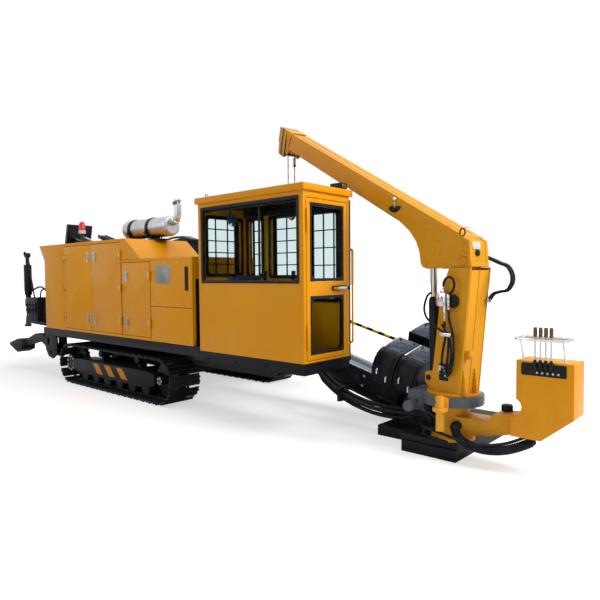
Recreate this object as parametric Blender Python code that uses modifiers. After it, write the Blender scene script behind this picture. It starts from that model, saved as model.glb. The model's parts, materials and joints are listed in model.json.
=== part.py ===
"""Horizontal directional drill on tracks, in metres.

X runs forward to the drilling end, Y to the machine's right-hand (far) side and Z up.
The driver's side, with the engine hood and the cab, is at -Y. Lengths along X are measured
from the middle of the tracks, and one root empty then centres the whole machine.
"""

import math

import bmesh
import bpy
from mathutils import Matrix, Vector

NAME = "horizontal_directional_drill"
GAP = 0.0003          # air between pieces that touch
PLAY = 0.006          # air round a piece that moves
SIDE_Y = 1.147        # half the overall width

# Tracks and their frames
WHEEL_BASE = 2.30
TRACK_WIDTH = 0.45
SHOE_THICK = 0.045
GROUSER = 0.020
LOOP_INNER = 0.235
SHOE_COUNT = 42
LOOP_STEPS = 2        # corners of the loop's inner face for each shoe
ROLLER_RADIUS = 0.085
ROLLER_COUNT = 6
SPROCKET_TEETH = 15
BEAM_HEIGHT = 0.24
BEAM_OUT = 0.035      # the beam's face inside the shoes' outer edge
BEAM_WIDTH = 0.25

# Deck that carries the hood and the cab
DECK_TOP = 0.797
DECK_THICK = 0.117
DECK_REAR = -1.995
DECK_FRONT = 2.02
DECK_INSET = 0.012
SLOT_Y = (-0.165, 0.455)
SLOT_REAR = 0.62

# Engine hood
HOOD_Y = (-SIDE_Y, -0.162)
HOOD_WALL = 0.035
HOOD_REAR = -1.865
HOOD_FRONT = 1.895
HOOD_TOP = 2.086
HOOD_LOW_TOP = 1.812
HOOD_BREAK_Z = 1.85
HOOD_TAIL = 0.175
SLOPE_X = (0.496, 0.855)
DOOR_THICK = 0.035
DOOR_SILL = 0.83
DOOR_SEAMS = (-1.216, -0.395, 0.392, 1.063)
DOOR_TALL = 2.045
DOOR_LOW = 1.775
KNUCKLE_RADIUS = 0.012
KNUCKLE_LENGTH = 0.11

# Cab
CAB_X = (2.022, 3.569)
CAB_Y = (-SIDE_Y, -0.441)
CAB_WALL = 0.04
CAB_FLOOR = (0.724, 0.760)
CAB_EAVE = 2.380
ROOF_TOP = CAB_EAVE + 0.066
ROOF_EAVE = 0.028
PLINTH_LOW = 0.648
GLASS = 0.006
LEFT_WINDOW = (2.076, 3.513, 1.522, CAB_EAVE - 0.048)
DOORWAY = (-1.108, -0.480, 0.780, CAB_EAVE - 0.062)
DOOR_PANES = ((-1.054, -0.532, 1.532, CAB_EAVE - 0.103), (-1.054, -0.532, 0.832, 1.395))
WINDOW_TOP = CAB_EAVE - 0.13
RIGHT_WINDOWS = ((2.12, 2.37, 1.58, WINDOW_TOP), (2.49, 2.97, 1.58, WINDOW_TOP),
                 (3.05, 3.46, 1.33, WINDOW_TOP))
REAR_WINDOW = (-1.065, -0.545, 1.60, WINDOW_TOP)
GUARD_STAND_OFF = 0.055
GUARD_BAR = 0.012

# Drilling boom, in its own frame: u forward along it, w square to its top face
BOOM_SLOPE = math.radians(15.03)
BOOM_DATUM = (3.265, 0.608)
BOOM_Y = 0.125
BOOM_HALF = 0.15
BOOM_DEPTH = 0.30
BOOM_REAR = -6.78
BOOM_FRONT = 0.80
DRILL_AXIS_W = 0.33
HEAD_U = (-3.64, -2.98)
HEAD_HALF = 0.215
VISE_REAR_U = (0.52, 0.765)
VISE_GAP = 0.015
VISE_HALF = 0.30
VISE_ROLL = math.radians(14.4)
VISE_TOP = 0.182
VISE_SHOULDER = 0.39
VISE_REACH = 0.55
THROAT_HALF = 0.085
TILT_PIVOT = (1.02, 0.66)
TILT_FOOT = (-1.25, 0.70)
TILT_EYE = (-0.62, 1.16)

# Front anchor, crane and console
BASE_HEIGHT = 0.10
CRANE_X = 4.73
CRANE_Y = -0.48
CRANE_TURN = math.radians(12.48)
RING_Z = (0.464, 0.548)
RING_RADIUS = 0.265
COLUMN_FLANGE = 0.228
LUFF_PIVOT = (-0.19, 1.70)
LUFF_FOOT = (0.195, 0.665)
LUFF_EYE = (0.225, 1.69)
COLUMN_TOP = 1.645
COLUMN_HALF = 0.137
SWING_ROOM = 0.109
JIB_SLOPE = math.radians(28.77)
JIB_TOP = 2.014
JIB_DEPTH = 0.181
JIB_HALF = 0.116
JIB_WALL = 0.012
JIB_REACH = 2.343
CONSOLE_Y = (-0.65, -0.385)
CONSOLE_X = (5.342, 5.765)
CONSOLE_TOP = 0.917
CONSOLE_HOSE = 0.040
LEG_PIVOT = (-1.84, 0.40)
LEG_Y = 1.03
OUTLET_X = -3.41
OUTLET_FLANGE = 0.058

MID_X = (CONSOLE_X[1] + OUTLET_X - OUTLET_FLANGE) / 2

PAINT = {
    # name: (red, green, blue, roughness, metallic)
    "yellow": (0.80, 0.42, 0.02, 0.40, 0.0),
    "crane_yellow": (0.66, 0.36, 0.06, 0.45, 0.0),
    "black": (0.015, 0.016, 0.018, 0.50, 0.0),
    "dark_grey": (0.06, 0.07, 0.08, 0.50, 0.0),
    "steel": (0.55, 0.56, 0.58, 0.30, 1.0),
    "rubber": (0.020, 0.020, 0.022, 0.80, 0.0),
    "glass": (0.35, 0.50, 0.50, 0.05, 0.0),
    "red": (0.75, 0.02, 0.02, 0.25, 0.0),
    "seat": (0.05, 0.07, 0.10, 0.80, 0.0),
    "rope": (0.30, 0.33, 0.36, 0.45, 1.0),
}

PARTS = None
TOOLS = None


def clear_scene():
    """Remove the start-up objects and make the two collections."""
    global PARTS, TOOLS
    for obj in list(bpy.data.objects):
        bpy.data.objects.remove(obj, do_unlink=True)
    PARTS = bpy.data.collections.new(NAME)
    TOOLS = bpy.data.collections.new("cutters")
    for collection in (PARTS, TOOLS):
        bpy.context.scene.collection.children.link(collection)


def material(name):
    found = bpy.data.materials.get(name)
    if found:
        return found
    red, green, blue, rough, metal = PAINT[name]
    made = bpy.data.materials.new(name)
    made.use_nodes = True
    made.diffuse_color = (red, green, blue, 1.0)
    shader = made.node_tree.nodes["Principled BSDF"]
    shader.inputs["Base Color"].default_value = (red, green, blue, 1.0)
    shader.inputs["Roughness"].default_value = rough
    shader.inputs["Metallic"].default_value = metal
    return made


# Shapes


def shape(mesh):
    obj = bpy.data.objects.new("shape", mesh)
    TOOLS.objects.link(obj)
    obj.hide_render = True
    obj.display_type = "WIRE"
    return obj


def from_bmesh(bm):
    mesh = bpy.data.meshes.new("shape")
    bm.to_mesh(mesh)
    bm.free()
    return shape(mesh)


def box(x, y, z):
    """A box from three (low, high) pairs."""
    bm = bmesh.new()
    bmesh.ops.create_cube(bm, size=1.0)
    size = Vector((x[1] - x[0], y[1] - y[0], z[1] - z[0]))
    middle = Vector((x[0] + x[1], y[0] + y[1], z[0] + z[1])) / 2
    bmesh.ops.scale(bm, vec=size, verts=bm.verts)
    bmesh.ops.translate(bm, vec=middle, verts=bm.verts)
    return from_bmesh(bm)


def rod(start, end, radius, sides=16, end_radius=None):
    """A round bar, or a cone, from one point to another."""
    start = Vector(start)
    axis = Vector(end) - start
    bm = bmesh.new()
    bmesh.ops.create_cone(
        bm, cap_ends=True, segments=sides, radius1=radius,
        radius2=radius if end_radius is None else end_radius, depth=axis.length,
    )
    turn = Vector((0, 0, 1)).rotation_difference(axis).to_matrix().to_4x4()
    place = Matrix.Translation(start + axis / 2) @ turn
    bmesh.ops.transform(bm, matrix=place, verts=bm.verts)
    return from_bmesh(bm)


def curve_mesh(curve, place=None):
    """A curve object made a welded mesh, so that it can be cut and joined."""
    obj = bpy.data.objects.new("curve", curve)
    TOOLS.objects.link(obj)
    bpy.context.view_layer.update()
    seen = obj.evaluated_get(bpy.context.evaluated_depsgraph_get())
    mesh = bpy.data.meshes.new_from_object(seen)
    bm = bmesh.new()
    bm.from_mesh(mesh)
    bmesh.ops.remove_doubles(bm, verts=bm.verts, dist=0.00002)
    bmesh.ops.recalc_face_normals(bm, faces=bm.faces)
    bm.to_mesh(mesh)
    bm.free()
    if place:
        mesh.transform(place)
    bpy.data.objects.remove(obj, do_unlink=True)
    return shape(mesh)


PLANES = {
    # plane of the outline: the matrix that lays it there
    "XY": Matrix.Identity(4),
    "XZ": Matrix.Rotation(math.radians(90), 4, "X"),
    "YZ": Matrix(((0, 0, 1, 0), (1, 0, 0, 0), (0, 1, 0, 0), (0, 0, 0, 1))),
}


def plate(outline, low, high, plane="XZ", holes=()):
    """A flat outline, with holes, between two distances along the plane's third axis."""
    curve = bpy.data.curves.new("outline", "CURVE")
    curve.dimensions = "2D"
    curve.fill_mode = "BOTH"
    curve.extrude = (high - low) / 2
    for ring in (outline, *holes):
        spline = curve.splines.new("POLY")
        spline.points.add(len(ring) - 1)
        for point, (a, b) in zip(spline.points, ring):
            point.co = (a, b, 0.0, 1.0)
        spline.use_cyclic_u = True
    middle = (low + high) / 2
    shift = {"XY": (0, 0, middle), "XZ": (0, middle, 0), "YZ": (middle, 0, 0)}[plane]
    return curve_mesh(curve, Matrix.Translation(shift) @ PLANES[plane])


def tube(points, radius, resolution=2, closed=False):
    """A round tube along points."""
    curve = bpy.data.curves.new("tube", "CURVE")
    curve.dimensions = "3D"
    curve.bevel_depth = radius
    curve.bevel_resolution = resolution
    curve.use_fill_caps = not closed
    spline = curve.splines.new("POLY")
    spline.points.add(len(points) - 1)
    for point, place in zip(spline.points, points):
        point.co = (*place, 1.0)
    spline.use_cyclic_u = closed
    return curve_mesh(curve)


def turned(profile, place, steps=24):
    """A profile of (radius, height), top to bottom on its outer side, turned about Z."""
    mesh = bpy.data.meshes.new("profile")
    mesh.from_pydata(
        [(radius, 0.0, height) for radius, height in profile],
        [(i, i + 1) for i in range(len(profile) - 1)], [],
    )
    obj = shape(mesh)
    obj.matrix_world = place
    screw = obj.modifiers.new("turn", "SCREW")
    screw.axis = "Z"
    screw.steps = steps
    screw.render_steps = steps
    screw.use_merge_vertices = True
    screw.merge_threshold = 0.00005
    return obj


def smooth_path(points, per_span=4):
    """Points along a smooth curve through the given ones."""
    ends = [points[0], *points, points[-1]]
    path = []
    for i in range(1, len(ends) - 2):
        p0, p1, p2, p3 = (Vector(p) for p in ends[i - 1:i + 3])
        for step in range(per_span):
            t = step / per_span
            path.append(0.5 * (2 * p1 + (p2 - p0) * t + (2 * p0 - 5 * p1 + 4 * p2 - p3) * t * t
                               + (3 * p1 - p0 - 3 * p2 + p3) * t ** 3))
    path.append(Vector(points[-1]))
    return path


def rect(a, b):
    """A rectangle's corners from two (low, high) pairs."""
    return [(a[0], b[0]), (a[1], b[0]), (a[1], b[1]), (a[0], b[1])]


def pane(row):
    """A rectangle's corners from a window's row of four numbers."""
    return rect(row[:2], row[2:])


def arc(centre, radius, start, end, steps):
    """Points of an arc between two angles in degrees."""
    found = []
    for i in range(steps + 1):
        angle = math.radians(start + (end - start) * i / steps)
        found.append((centre[0] + radius * math.cos(angle), centre[1] + radius * math.sin(angle)))
    return found


def inset(outline, distances):
    """An outline, counter-clockwise, with each edge moved in by its own distance."""
    count = len(outline)
    lines = []
    for i, distance in enumerate(distances):
        a = Vector(outline[i])
        along = (Vector(outline[(i + 1) % count]) - a).normalized()
        inward = Vector((-along.y, along.x))
        lines.append((a + inward * distance, along))
    found = []
    for i in range(count):
        (p, d), (q, e) = lines[i - 1], lines[i]
        t = ((q.x - p.x) * e.y - (q.y - p.y) * e.x) / (d.x * e.y - d.y * e.x)
        found.append(tuple(p + d * t))
    return found


# Assembly


def bore(radius, sides):
    """The radius of a faceted hole in which a pin of this radius turns freely."""
    return (radius + GAP) / math.cos(math.pi / sides)


def pivot(name, place, parent):
    """An empty on a joint's axis."""
    empty = bpy.data.objects.new(name, None)
    PARTS.objects.link(empty)
    empty.empty_display_size = 0.1
    empty.parent = parent
    empty["place"] = place
    base = Vector(parent["place"]) if parent else Vector((0, 0, 0))
    empty.location = Vector(place) - base
    return empty


def part(name, paint, parent, base, add=(), cut=(), place=None):
    """Make a shape a named piece: others joined to it and cut from it, then set in place."""
    base.name = name
    base.data.name = name
    base.hide_render = False
    base.display_type = "TEXTURED"
    TOOLS.objects.unlink(base)
    PARTS.objects.link(base)
    base.data.materials.clear()
    base.data.materials.append(material(paint))
    for operation, tools in (("UNION", add), ("DIFFERENCE", cut)):
        for number, tool in enumerate(tools):
            step = base.modifiers.new(f"{operation.lower()}_{number}", "BOOLEAN")
            step.operation = operation
            step.solver = "EXACT"
            step.object = tool
            tool.name = f"{name}_{operation.lower()}_{number}"
    origin = Matrix.Translation(-Vector(parent["place"]))
    for obj in (base, *add, *cut):
        own = (place or Matrix.Identity(4)) @ obj.matrix_world
        obj.parent = parent
        obj.matrix_parent_inverse = Matrix.Identity(4)
        obj.matrix_basis = origin @ own
    return base


# Undercarriage


def loop_point(distance, offset):
    """A point of the track's loop, at a distance round its inner face and an offset out of it."""
    half = WHEEL_BASE / 2
    turn = math.pi * LOOP_INNER
    distance %= 2 * WHEEL_BASE + 2 * turn
    radius = LOOP_INNER + offset
    if distance < WHEEL_BASE:
        return (distance - half, -radius)
    distance -= WHEEL_BASE
    if distance < turn:
        angle = distance / LOOP_INNER
        return (half + radius * math.sin(angle), -radius * math.cos(angle))
    distance -= turn
    if distance < WHEEL_BASE:
        return (half - distance, radius)
    angle = (distance - WHEEL_BASE) / LOOP_INNER
    return (-half - radius * math.sin(angle), radius * math.cos(angle))


def axle_height():
    return LOOP_INNER + SHOE_THICK + GROUSER


def shoe_pitch():
    return (2 * WHEEL_BASE + 2 * math.pi * LOOP_INNER) / SHOE_COUNT


def wheel_radius():
    """What fits inside the loop's corners where it bends."""
    return LOOP_INNER * math.cos(shoe_pitch() / LOOP_STEPS / LOOP_INNER / 2) - GAP


def track(side, root):
    """One closed loop of shoes, each with its grouser bar."""
    pitch = shoe_pitch()
    # share of the pitch, height over the inner face
    shoe = ((0.0, SHOE_THICK * 0.72), (0.08, SHOE_THICK), (0.38, SHOE_THICK + GROUSER),
            (0.62, SHOE_THICK + GROUSER), (0.92, SHOE_THICK))
    z = axle_height()
    outer = []
    inner = []
    for number in range(SHOE_COUNT):
        start = number * pitch
        inner += [loop_point(start + step * pitch / LOOP_STEPS, 0.0) for step in range(LOOP_STEPS)]
        outer += [loop_point(start + share * pitch, height) for share, height in shoe]
    raised = [[(x, y + z) for x, y in ring] for ring in (outer, inner)]
    edges = sorted((side * SIDE_Y, side * (SIDE_Y - TRACK_WIDTH)))
    name = "left" if side < 0 else "right"
    part(f"track_{name}", "rubber", root, plate(raised[0], *edges, holes=[raised[1]]))


def track_frame(side, root):
    """The side beam with its rollers, the drive sprocket at the rear and the idler in front."""
    z = axle_height()
    half = WHEEL_BASE / 2
    face = SIDE_Y - BEAM_OUT
    middle = SIDE_Y - TRACK_WIDTH / 2

    def across(near, far):
        return sorted((side * near, side * far))

    low, high = z - BEAM_HEIGHT / 2, z + BEAM_HEIGHT / 2 - 0.03
    outline = [(-half + 0.28, low), (half - 0.27, low), (half - 0.10, z - 0.07),
               (half - 0.10, z + 0.07), (half - 0.30, high), (-half + 0.28, high),
               (-half + 0.05, z + 0.06), (-half + 0.05, z - 0.06)]
    beam = plate(outline, *across(face, face - BEAM_WIDTH))
    add = []
    floor = z - LOOP_INNER + GAP
    for number in range(ROLLER_COUNT):
        x = -half + 0.36 + number * (WHEEL_BASE - 0.72) / (ROLLER_COUNT - 1)
        ends = across(middle + 0.15, middle - 0.15)
        add.append(rod((x, ends[0], floor + ROLLER_RADIUS), (x, ends[1], floor + ROLLER_RADIUS),
                       ROLLER_RADIUS, 12))
    for x in (-0.45, 0.50):
        top = z + LOOP_INNER - GAP - 0.05
        ends = across(middle + 0.09, middle - 0.09)
        add.append(rod((x, ends[0], top), (x, ends[1], top), 0.05, 12))
        add.append(box((x - 0.03, x + 0.03), across(middle + 0.05, middle - 0.05), (z, top)))
    rim = wheel_radius()
    root_radius = rim - 0.030
    teeth = []
    for number in range(SPROCKET_TEETH):
        for share, radius in ((0.10, root_radius), (0.40, root_radius), (0.60, rim), (0.90, rim)):
            angle = 2 * math.pi * (number + share) / SPROCKET_TEETH
            teeth.append((-half + radius * math.cos(angle), z + radius * math.sin(angle)))
    add.append(plate(teeth, *across(middle + 0.03, middle - 0.03)))
    hub = across(face - 0.005, face - BEAM_WIDTH)
    add.append(rod((-half, hub[0], z), (-half, hub[1], z), 0.125, 24))
    idler = across(middle + 0.055, middle - 0.055)
    add.append(rod((half, idler[0], z), (half, idler[1], z), rim, 24))
    axle = across(face - 0.01, face - BEAM_WIDTH)
    add.append(rod((half, axle[0], z), (half, axle[1], z), 0.055, 16))
    name = "left" if side < 0 else "right"
    part(f"track_frame_{name}", "black", root, beam, add)


def car_body(root):
    """The cross beams between the track frames and the box that the deck sits on."""
    z = axle_height()
    inner = SIDE_Y - BEAM_OUT - BEAM_WIDTH - GAP
    top = DECK_TOP - DECK_THICK - GAP
    add = [box((x - 0.14, x + 0.14), (-inner, inner), (z - 0.06, z + 0.08)) for x in (-0.62, 0.62)]
    side = [(-0.95, z + 0.03), (0.95, z + 0.03), (1.12, top), (-1.12, top)]
    body = plate(side, -0.55, 0.55)
    slot = box((0.74, 1.30), (SLOT_Y[0] - 0.06, SLOT_Y[1] + 0.06), (z + 0.1, top + 0.1))
    part("car_body", "black", root, body, add, [slot])


def deck(root):
    """The welded deck: a ladder under the hood, the cab's plinth, rear side plates and lugs."""
    low, high = DECK_TOP - DECK_THICK, DECK_TOP - GAP
    edge = SIDE_Y - DECK_INSET
    outline = [(DECK_REAR, -edge), (DECK_FRONT, -edge), (DECK_FRONT, SLOT_Y[0]),
               (SLOT_REAR, SLOT_Y[0]), (SLOT_REAR, SLOT_Y[1]), (1.80, SLOT_Y[1]), (1.80, edge),
               (DECK_REAR, edge)]
    frame = plate(outline, low, high, "XY", [rect((-1.62, 0.35), (-0.02, 0.29))])
    plinth_top = CAB_FLOOR[0] - GAP
    add = [box((DECK_FRONT - 0.1, CAB_X[1]), (-SIDE_Y, CAB_Y[1]), (PLINTH_LOW, plinth_top))]
    under = [(1.50, low + 0.02), (1.50, 0.63), (1.62, 0.53), (2.92, 0.53), (3.06, 0.66), (2.90, 0.70)]
    for near in (-0.92, -0.50):
        add.append(plate(under, near, near + 0.03))
    add.append(box((1.64, 2.90), (-0.91, -0.48), (0.535, 0.56)))
    side_plate = [(-2.01, 0.765), (-1.98, DECK_TOP - GAP), (-1.60, DECK_TOP - GAP), (-1.587, 0.40),
                  (-1.75, 0.307), (-1.887, 0.335), (-1.985, 0.44)]
    oval = arc((-1.88, 0.60), 0.035, 0, 180, 6) + arc((-1.88, 0.545), 0.035, 180, 360, 6)
    for side in (-1, 1):
        for inner in (LEG_Y + 0.060, LEG_Y - 0.085):
            ends = sorted((side * inner, side * (inner + 0.025)))
            add.append(plate(side_plate, *ends, holes=[oval]))
    for y in (SLOT_Y[0], SLOT_Y[1]):
        ends = (y - 0.04, y) if y < 0 else (y, y + 0.04)
        x, z = TILT_PIVOT
        lug = [(x - 0.22, low + 0.02), (x - 0.09, z - 0.10), (x + 0.09, z - 0.10),
               (x + 0.22, low + 0.02)]
        add.append(plate(lug, *ends))
    foot_x, foot_z = TILT_FOOT
    for y in (BOOM_Y - 0.095, BOOM_Y + 0.065):
        lug = [(foot_x - 0.45, low + 0.01), (foot_x - 0.45, high - 0.01), (foot_x - 0.05, foot_z + 0.07),
               (foot_x + 0.07, foot_z + 0.07), (foot_x + 0.07, foot_z - 0.07), (foot_x - 0.1, foot_z - 0.07)]
        add.append(plate(lug, y, y + 0.03))
    pin = TILT_PIVOT
    holes = [rod((pin[0], SLOT_Y[0] - 0.1, pin[1]), (pin[0], SLOT_Y[1] + 0.1, pin[1]), bore(0.035, 20), 20),
             rod((foot_x, BOOM_Y - 0.2, foot_z), (foot_x, BOOM_Y + 0.2, foot_z), bore(0.025, 16), 16)]
    for side in (-1, 1):
        ends = sorted((side * (LEG_Y - 0.11), side * (LEG_Y + 0.11)))
        holes.append(rod((LEG_PIVOT[0], ends[0], LEG_PIVOT[1]), (LEG_PIVOT[0], ends[1], LEG_PIVOT[1]),
                         bore(0.030, 16), 16))
    part("deck_frame", "black", root, frame, add, holes)


def rear_leg(side, root):
    """A stabiliser leg that swings down at the rear, with its pad."""
    x, z = LEG_PIVOT
    name = "left" if side < 0 else "right"
    hinge = pivot(f"pivot_leg_{name}", (x, side * LEG_Y, z), root)
    arm = [(x + 0.05, z - 0.06), (x + 0.07, z), (x + 0.03, z + 0.08), (-2.20, 0.675), (-2.45, 0.66),
           (-2.93, 0.50), (-2.93, 0.40), (-2.40, 0.52), (-2.20, 0.53)]
    edges = sorted((side * (LEG_Y - 0.05), side * (LEG_Y + 0.05)))
    leg = plate(arm, *edges)
    pad = [(-3.40, 0.44), (-3.37, 0.40), (-3.06, 0.30), (-2.86, 0.36), (-2.84, 0.44), (-2.90, 0.53),
           (-3.02, 0.54)]
    pad_edges = sorted((side * (LEG_Y - 0.11), side * (LEG_Y + 0.11)))
    add = [plate(pad, *pad_edges)]
    pin = sorted((side * (LEG_Y - 0.10), side * (LEG_Y + 0.10)))
    add.append(rod((x, pin[0], z), (x, pin[1], z), 0.030, 16))
    part(f"rear_leg_{name}", "black", hinge, leg, add)


def rear_rack(root):
    """The valve rack behind the hood, with its upright cylinder."""
    front = HOOD_REAR - GAP
    shelf = plate([(-2.81, 0.86), (-2.81, 0.815), (-2.10, DECK_TOP), (front, DECK_TOP), (front, 0.86)],
                  -1.05, -0.50)
    x, y = -2.99, -0.95
    add = [
        box((-2.80, -2.36), (-1.07, -0.52), (0.85, 1.25)),
        box((-2.37, -2.02), (-0.98, -0.58), (0.85, 1.12)),
        box((x - 0.03, -2.79), (y - 0.05, y + 0.05), (1.08, 1.22)),
        rod((x, y, 1.05), (x, y, 1.30), 0.045, 14),
        rod((x, y, 1.286), (x, y, 1.807), 0.062, 20),
        rod((x, y, 1.80), (x, y, 1.95), 0.030, 12),
        rod((x, y - 0.04, 1.975), (x, y + 0.04, 1.975), 0.040, 12),
    ]
    part("rear_valve_rack", "black", root, shelf, add)


def outlet(root):
    """The bent pipe that ends in a flange behind the rack."""
    y, z = -0.80, 1.02
    rear = -2.80 - GAP
    path = smooth_path([(rear - 0.012, y, z), (rear - 0.20, y, z), (-3.26, y, 0.98), (-3.38, y, 0.88),
                        (OUTLET_X, y, 0.74)], 4)
    flanges = [rod((OUTLET_X, y, 0.70), (OUTLET_X, y, 0.745), OUTLET_FLANGE, 16),
               rod((rear - 0.02, y, z), (rear, y, z), 0.07, 16)]
    part("outlet_pipe", "dark_grey", root, tube(path, 0.045), flanges)


# Hood


def hood_outline():
    return [(HOOD_REAR, DECK_TOP), (HOOD_FRONT, DECK_TOP), (HOOD_FRONT, HOOD_LOW_TOP),
            (SLOPE_X[1], HOOD_LOW_TOP), (SLOPE_X[0], HOOD_TOP), (HOOD_REAR - HOOD_TAIL, HOOD_TOP),
            (HOOD_REAR, HOOD_BREAK_Z)]


def hood(root):
    """A sheet-metal housing with openings for three doors, and posts behind their meeting edges."""
    outline = hood_outline()
    wall = HOOD_WALL
    hollow = plate(inset(outline, [-0.05, wall, wall, wall, wall, wall, wall]),
                   HOOD_Y[0] + wall, HOOD_Y[1] - wall)
    near = HOOD_Y[0]
    first, second, third, fourth = DOOR_SEAMS
    cut = [hollow,
           box((first, third), (near - 0.1, near + wall + 0.01), (DOOR_SILL, DOOR_TALL)),
           box((third - 0.001, fourth), (near - 0.1, near + wall + 0.01), (DOOR_SILL, DOOR_LOW))]
    shell = plate(outline, *HOOD_Y)
    base = part("hood", "yellow", root, shell, [], cut)
    posts = []
    for x, top in ((third, 2.07), (second, 2.07)):
        inner = near + DOOR_THICK + PLAY
        posts.append(box((x - 0.03, x + 0.03), (inner, inner + 0.04), (DECK_TOP + 0.003, top)))
    rail_y = near + wall - 0.002
    posts.append(box((first - 0.05, fourth + 0.05), (rail_y, near + DOOR_THICK + PLAY + 0.03),
                     (DECK_TOP + 0.003, DOOR_SILL - 0.005)))
    for number, post in enumerate(posts):
        step = base.modifiers.new(f"post_{number}", "BOOLEAN")
        step.operation = "UNION"
        step.solver = "EXACT"
        step.object = post
        post.name = f"hood_post_{number}"
        post.parent = root
        post.matrix_basis = Matrix.Translation(-Vector(root["place"])) @ post.matrix_world


def hood_doors(root):
    """Three side doors on outside knuckles; the middle pair meets at one seam."""
    near = HOOD_Y[0]
    first, second, third, fourth = DOOR_SEAMS
    rows = [
        # name, low edge, high edge, hinge at low edge, top, number of knuckles
        ("hood_door_rear", first + PLAY, second - PLAY / 2, True, DOOR_TALL, 3),
        ("hood_door_middle", second + PLAY / 2, third - PLAY, False, DOOR_TALL, 3),
        ("hood_door_front", third + PLAY + 0.013, fourth - PLAY, False, DOOR_LOW, 2),
    ]
    for name, low, high, at_low, top, count in rows:
        lowest, highest = DOOR_SILL + 0.18, top - 0.175
        heights = [lowest + (highest - lowest) * i / (count - 1) for i in range(count)]
        edge = low - PLAY if at_low else high + PLAY
        axis_y = near - KNUCKLE_RADIUS - GAP
        hinge = pivot(f"pivot_{name}", (edge, axis_y, DOOR_SILL), root)
        leaf = box((low, high), (near, near + DOOR_THICK), (DOOR_SILL + PLAY, top - PLAY))
        reach = (low - PLAY / 2, low + 0.045) if at_low else (high - 0.045, high + PLAY / 2)
        add = []
        for z in heights:
            add.append(rod((edge, axis_y, z - KNUCKLE_LENGTH / 2),
                           (edge, axis_y, z + KNUCKLE_LENGTH / 2), KNUCKLE_RADIUS, 12))
            add.append(box(reach, (near - 0.009, near + 0.004),
                           (z - KNUCKLE_LENGTH * 0.4, z + KNUCKLE_LENGTH * 0.4)))
        part(name, "yellow", hinge, leaf, add)


def engine(root):
    low = DECK_TOP
    block = box((-0.95, 0.30), (-0.95, -0.36), (low, 1.55))
    part("engine_block", "dark_grey", root, block)


def muffler(root):
    """The exhaust silencer lying on the hood, its two straps and the bent stack with its flap."""
    y, z, radius = -0.60, 2.258, 0.135
    rear, front = -0.29, 0.78
    half = (front - rear) / 2
    profile = [(0.0, half), (radius * 0.72, half), (radius * 0.94, half - 0.02), (radius, half - 0.05),
               (radius, -half + 0.07), (radius * 0.93, -half + 0.03), (radius * 0.75, -half), (0.0, -half)]
    lay = Matrix.Translation(((rear + front) / 2, y, z)) @ Matrix.Rotation(math.radians(90), 4, "Y")
    can = turned(profile, lay, 22)
    bend = smooth_path([(front - 0.08, y, z + 0.05), (front + 0.05, y, z + 0.055),
                        (front + 0.115, y, z + 0.12), (front + 0.125, y, z + 0.27)], 4)
    top = Vector(bend[-1])
    flap = rod(top + Vector((-0.02, 0, 0.03)), top + Vector((-0.032, 0, 0.045)), 0.058, 16)
    add = [tube(bend, 0.045, 3), flap,
           rod(top - Vector((0, 0, 0.01)), top + Vector((-0.012, 0, 0.036)), 0.012, 8)]
    part("muffler", "steel", root, can, add)
    saddle = box((-0.16, 0.62), (y - 0.09, y + 0.09), (HOOD_TOP, HOOD_TOP + 0.014))
    straps = []
    bands = []
    for x in (-0.08, 0.36):
        bands.append(rod((x - 0.03, y, z), (x + 0.03, y, z), radius + 0.008, 22))
        straps.append(box((x - 0.03, x + 0.03), (y - 0.07, y + 0.07), (HOOD_TOP + 0.006, z)))
    bore = rod((rear - 0.1, y, z), (front + 0.1, y, z), radius / math.cos(math.pi / 22) + GAP, 22)
    room = box((0.50, 0.75), (y - 0.2, y + 0.2), (HOOD_TOP - 0.2, HOOD_TOP))
    part("muffler_straps", "black", root, saddle, straps + bands, [bore, room])


def beacon(root):
    """The flashing lamp on its short post."""
    x, y = -1.30, -0.80
    profile = [(0.0, 2.446), (0.030, 2.440), (0.043, 2.415), (0.046, 2.315), (0.052, 2.312),
               (0.052, 2.262), (0.020, 2.260), (0.018, HOOD_TOP + 0.02), (0.040, HOOD_TOP + 0.018),
               (0.040, HOOD_TOP + GAP), (0.0, HOOD_TOP + GAP)]
    part("beacon", "red", root, turned(profile, Matrix.Translation((x, y, 0)), 20))


# Cab


def cab_shell(root):
    """Floor, four walls with their window openings, and the roof slab."""
    x0, x1 = CAB_X
    y0, y1 = CAB_Y
    wall = CAB_WALL
    low = CAB_FLOOR[1] + GAP
    high = CAB_EAVE
    part("cab_floor", "black", root, box(CAB_X, CAB_Y, CAB_FLOOR))
    side_x = (x0, x1 - wall - GAP)
    part("cab_wall_left", "yellow", root,
         plate(rect(side_x, (low, high)), y0, y0 + wall, holes=[pane(LEFT_WINDOW)]))
    part("cab_wall_right", "yellow", root,
         plate(rect(side_x, (low, high)), y1 - wall, y1, holes=[pane(row) for row in RIGHT_WINDOWS]))
    inner_y = (y0 + wall + GAP, y1 - wall - GAP)
    part("cab_wall_rear", "yellow", root,
         plate(rect(inner_y, (low, high)), x0, x0 + wall, "YZ", [pane(REAR_WINDOW)]))
    part("cab_front_frame", "yellow", root,
         plate(rect(CAB_Y, (low, high)), x1 - wall, x1, "YZ", [pane(DOORWAY)]))
    eave = ROOF_EAVE
    roof = box((x0 - eave, x1 + eave), (y0 - eave, y1 + eave), (high + GAP, ROOF_TOP))
    part("cab_roof", "yellow", root, roof)


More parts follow.
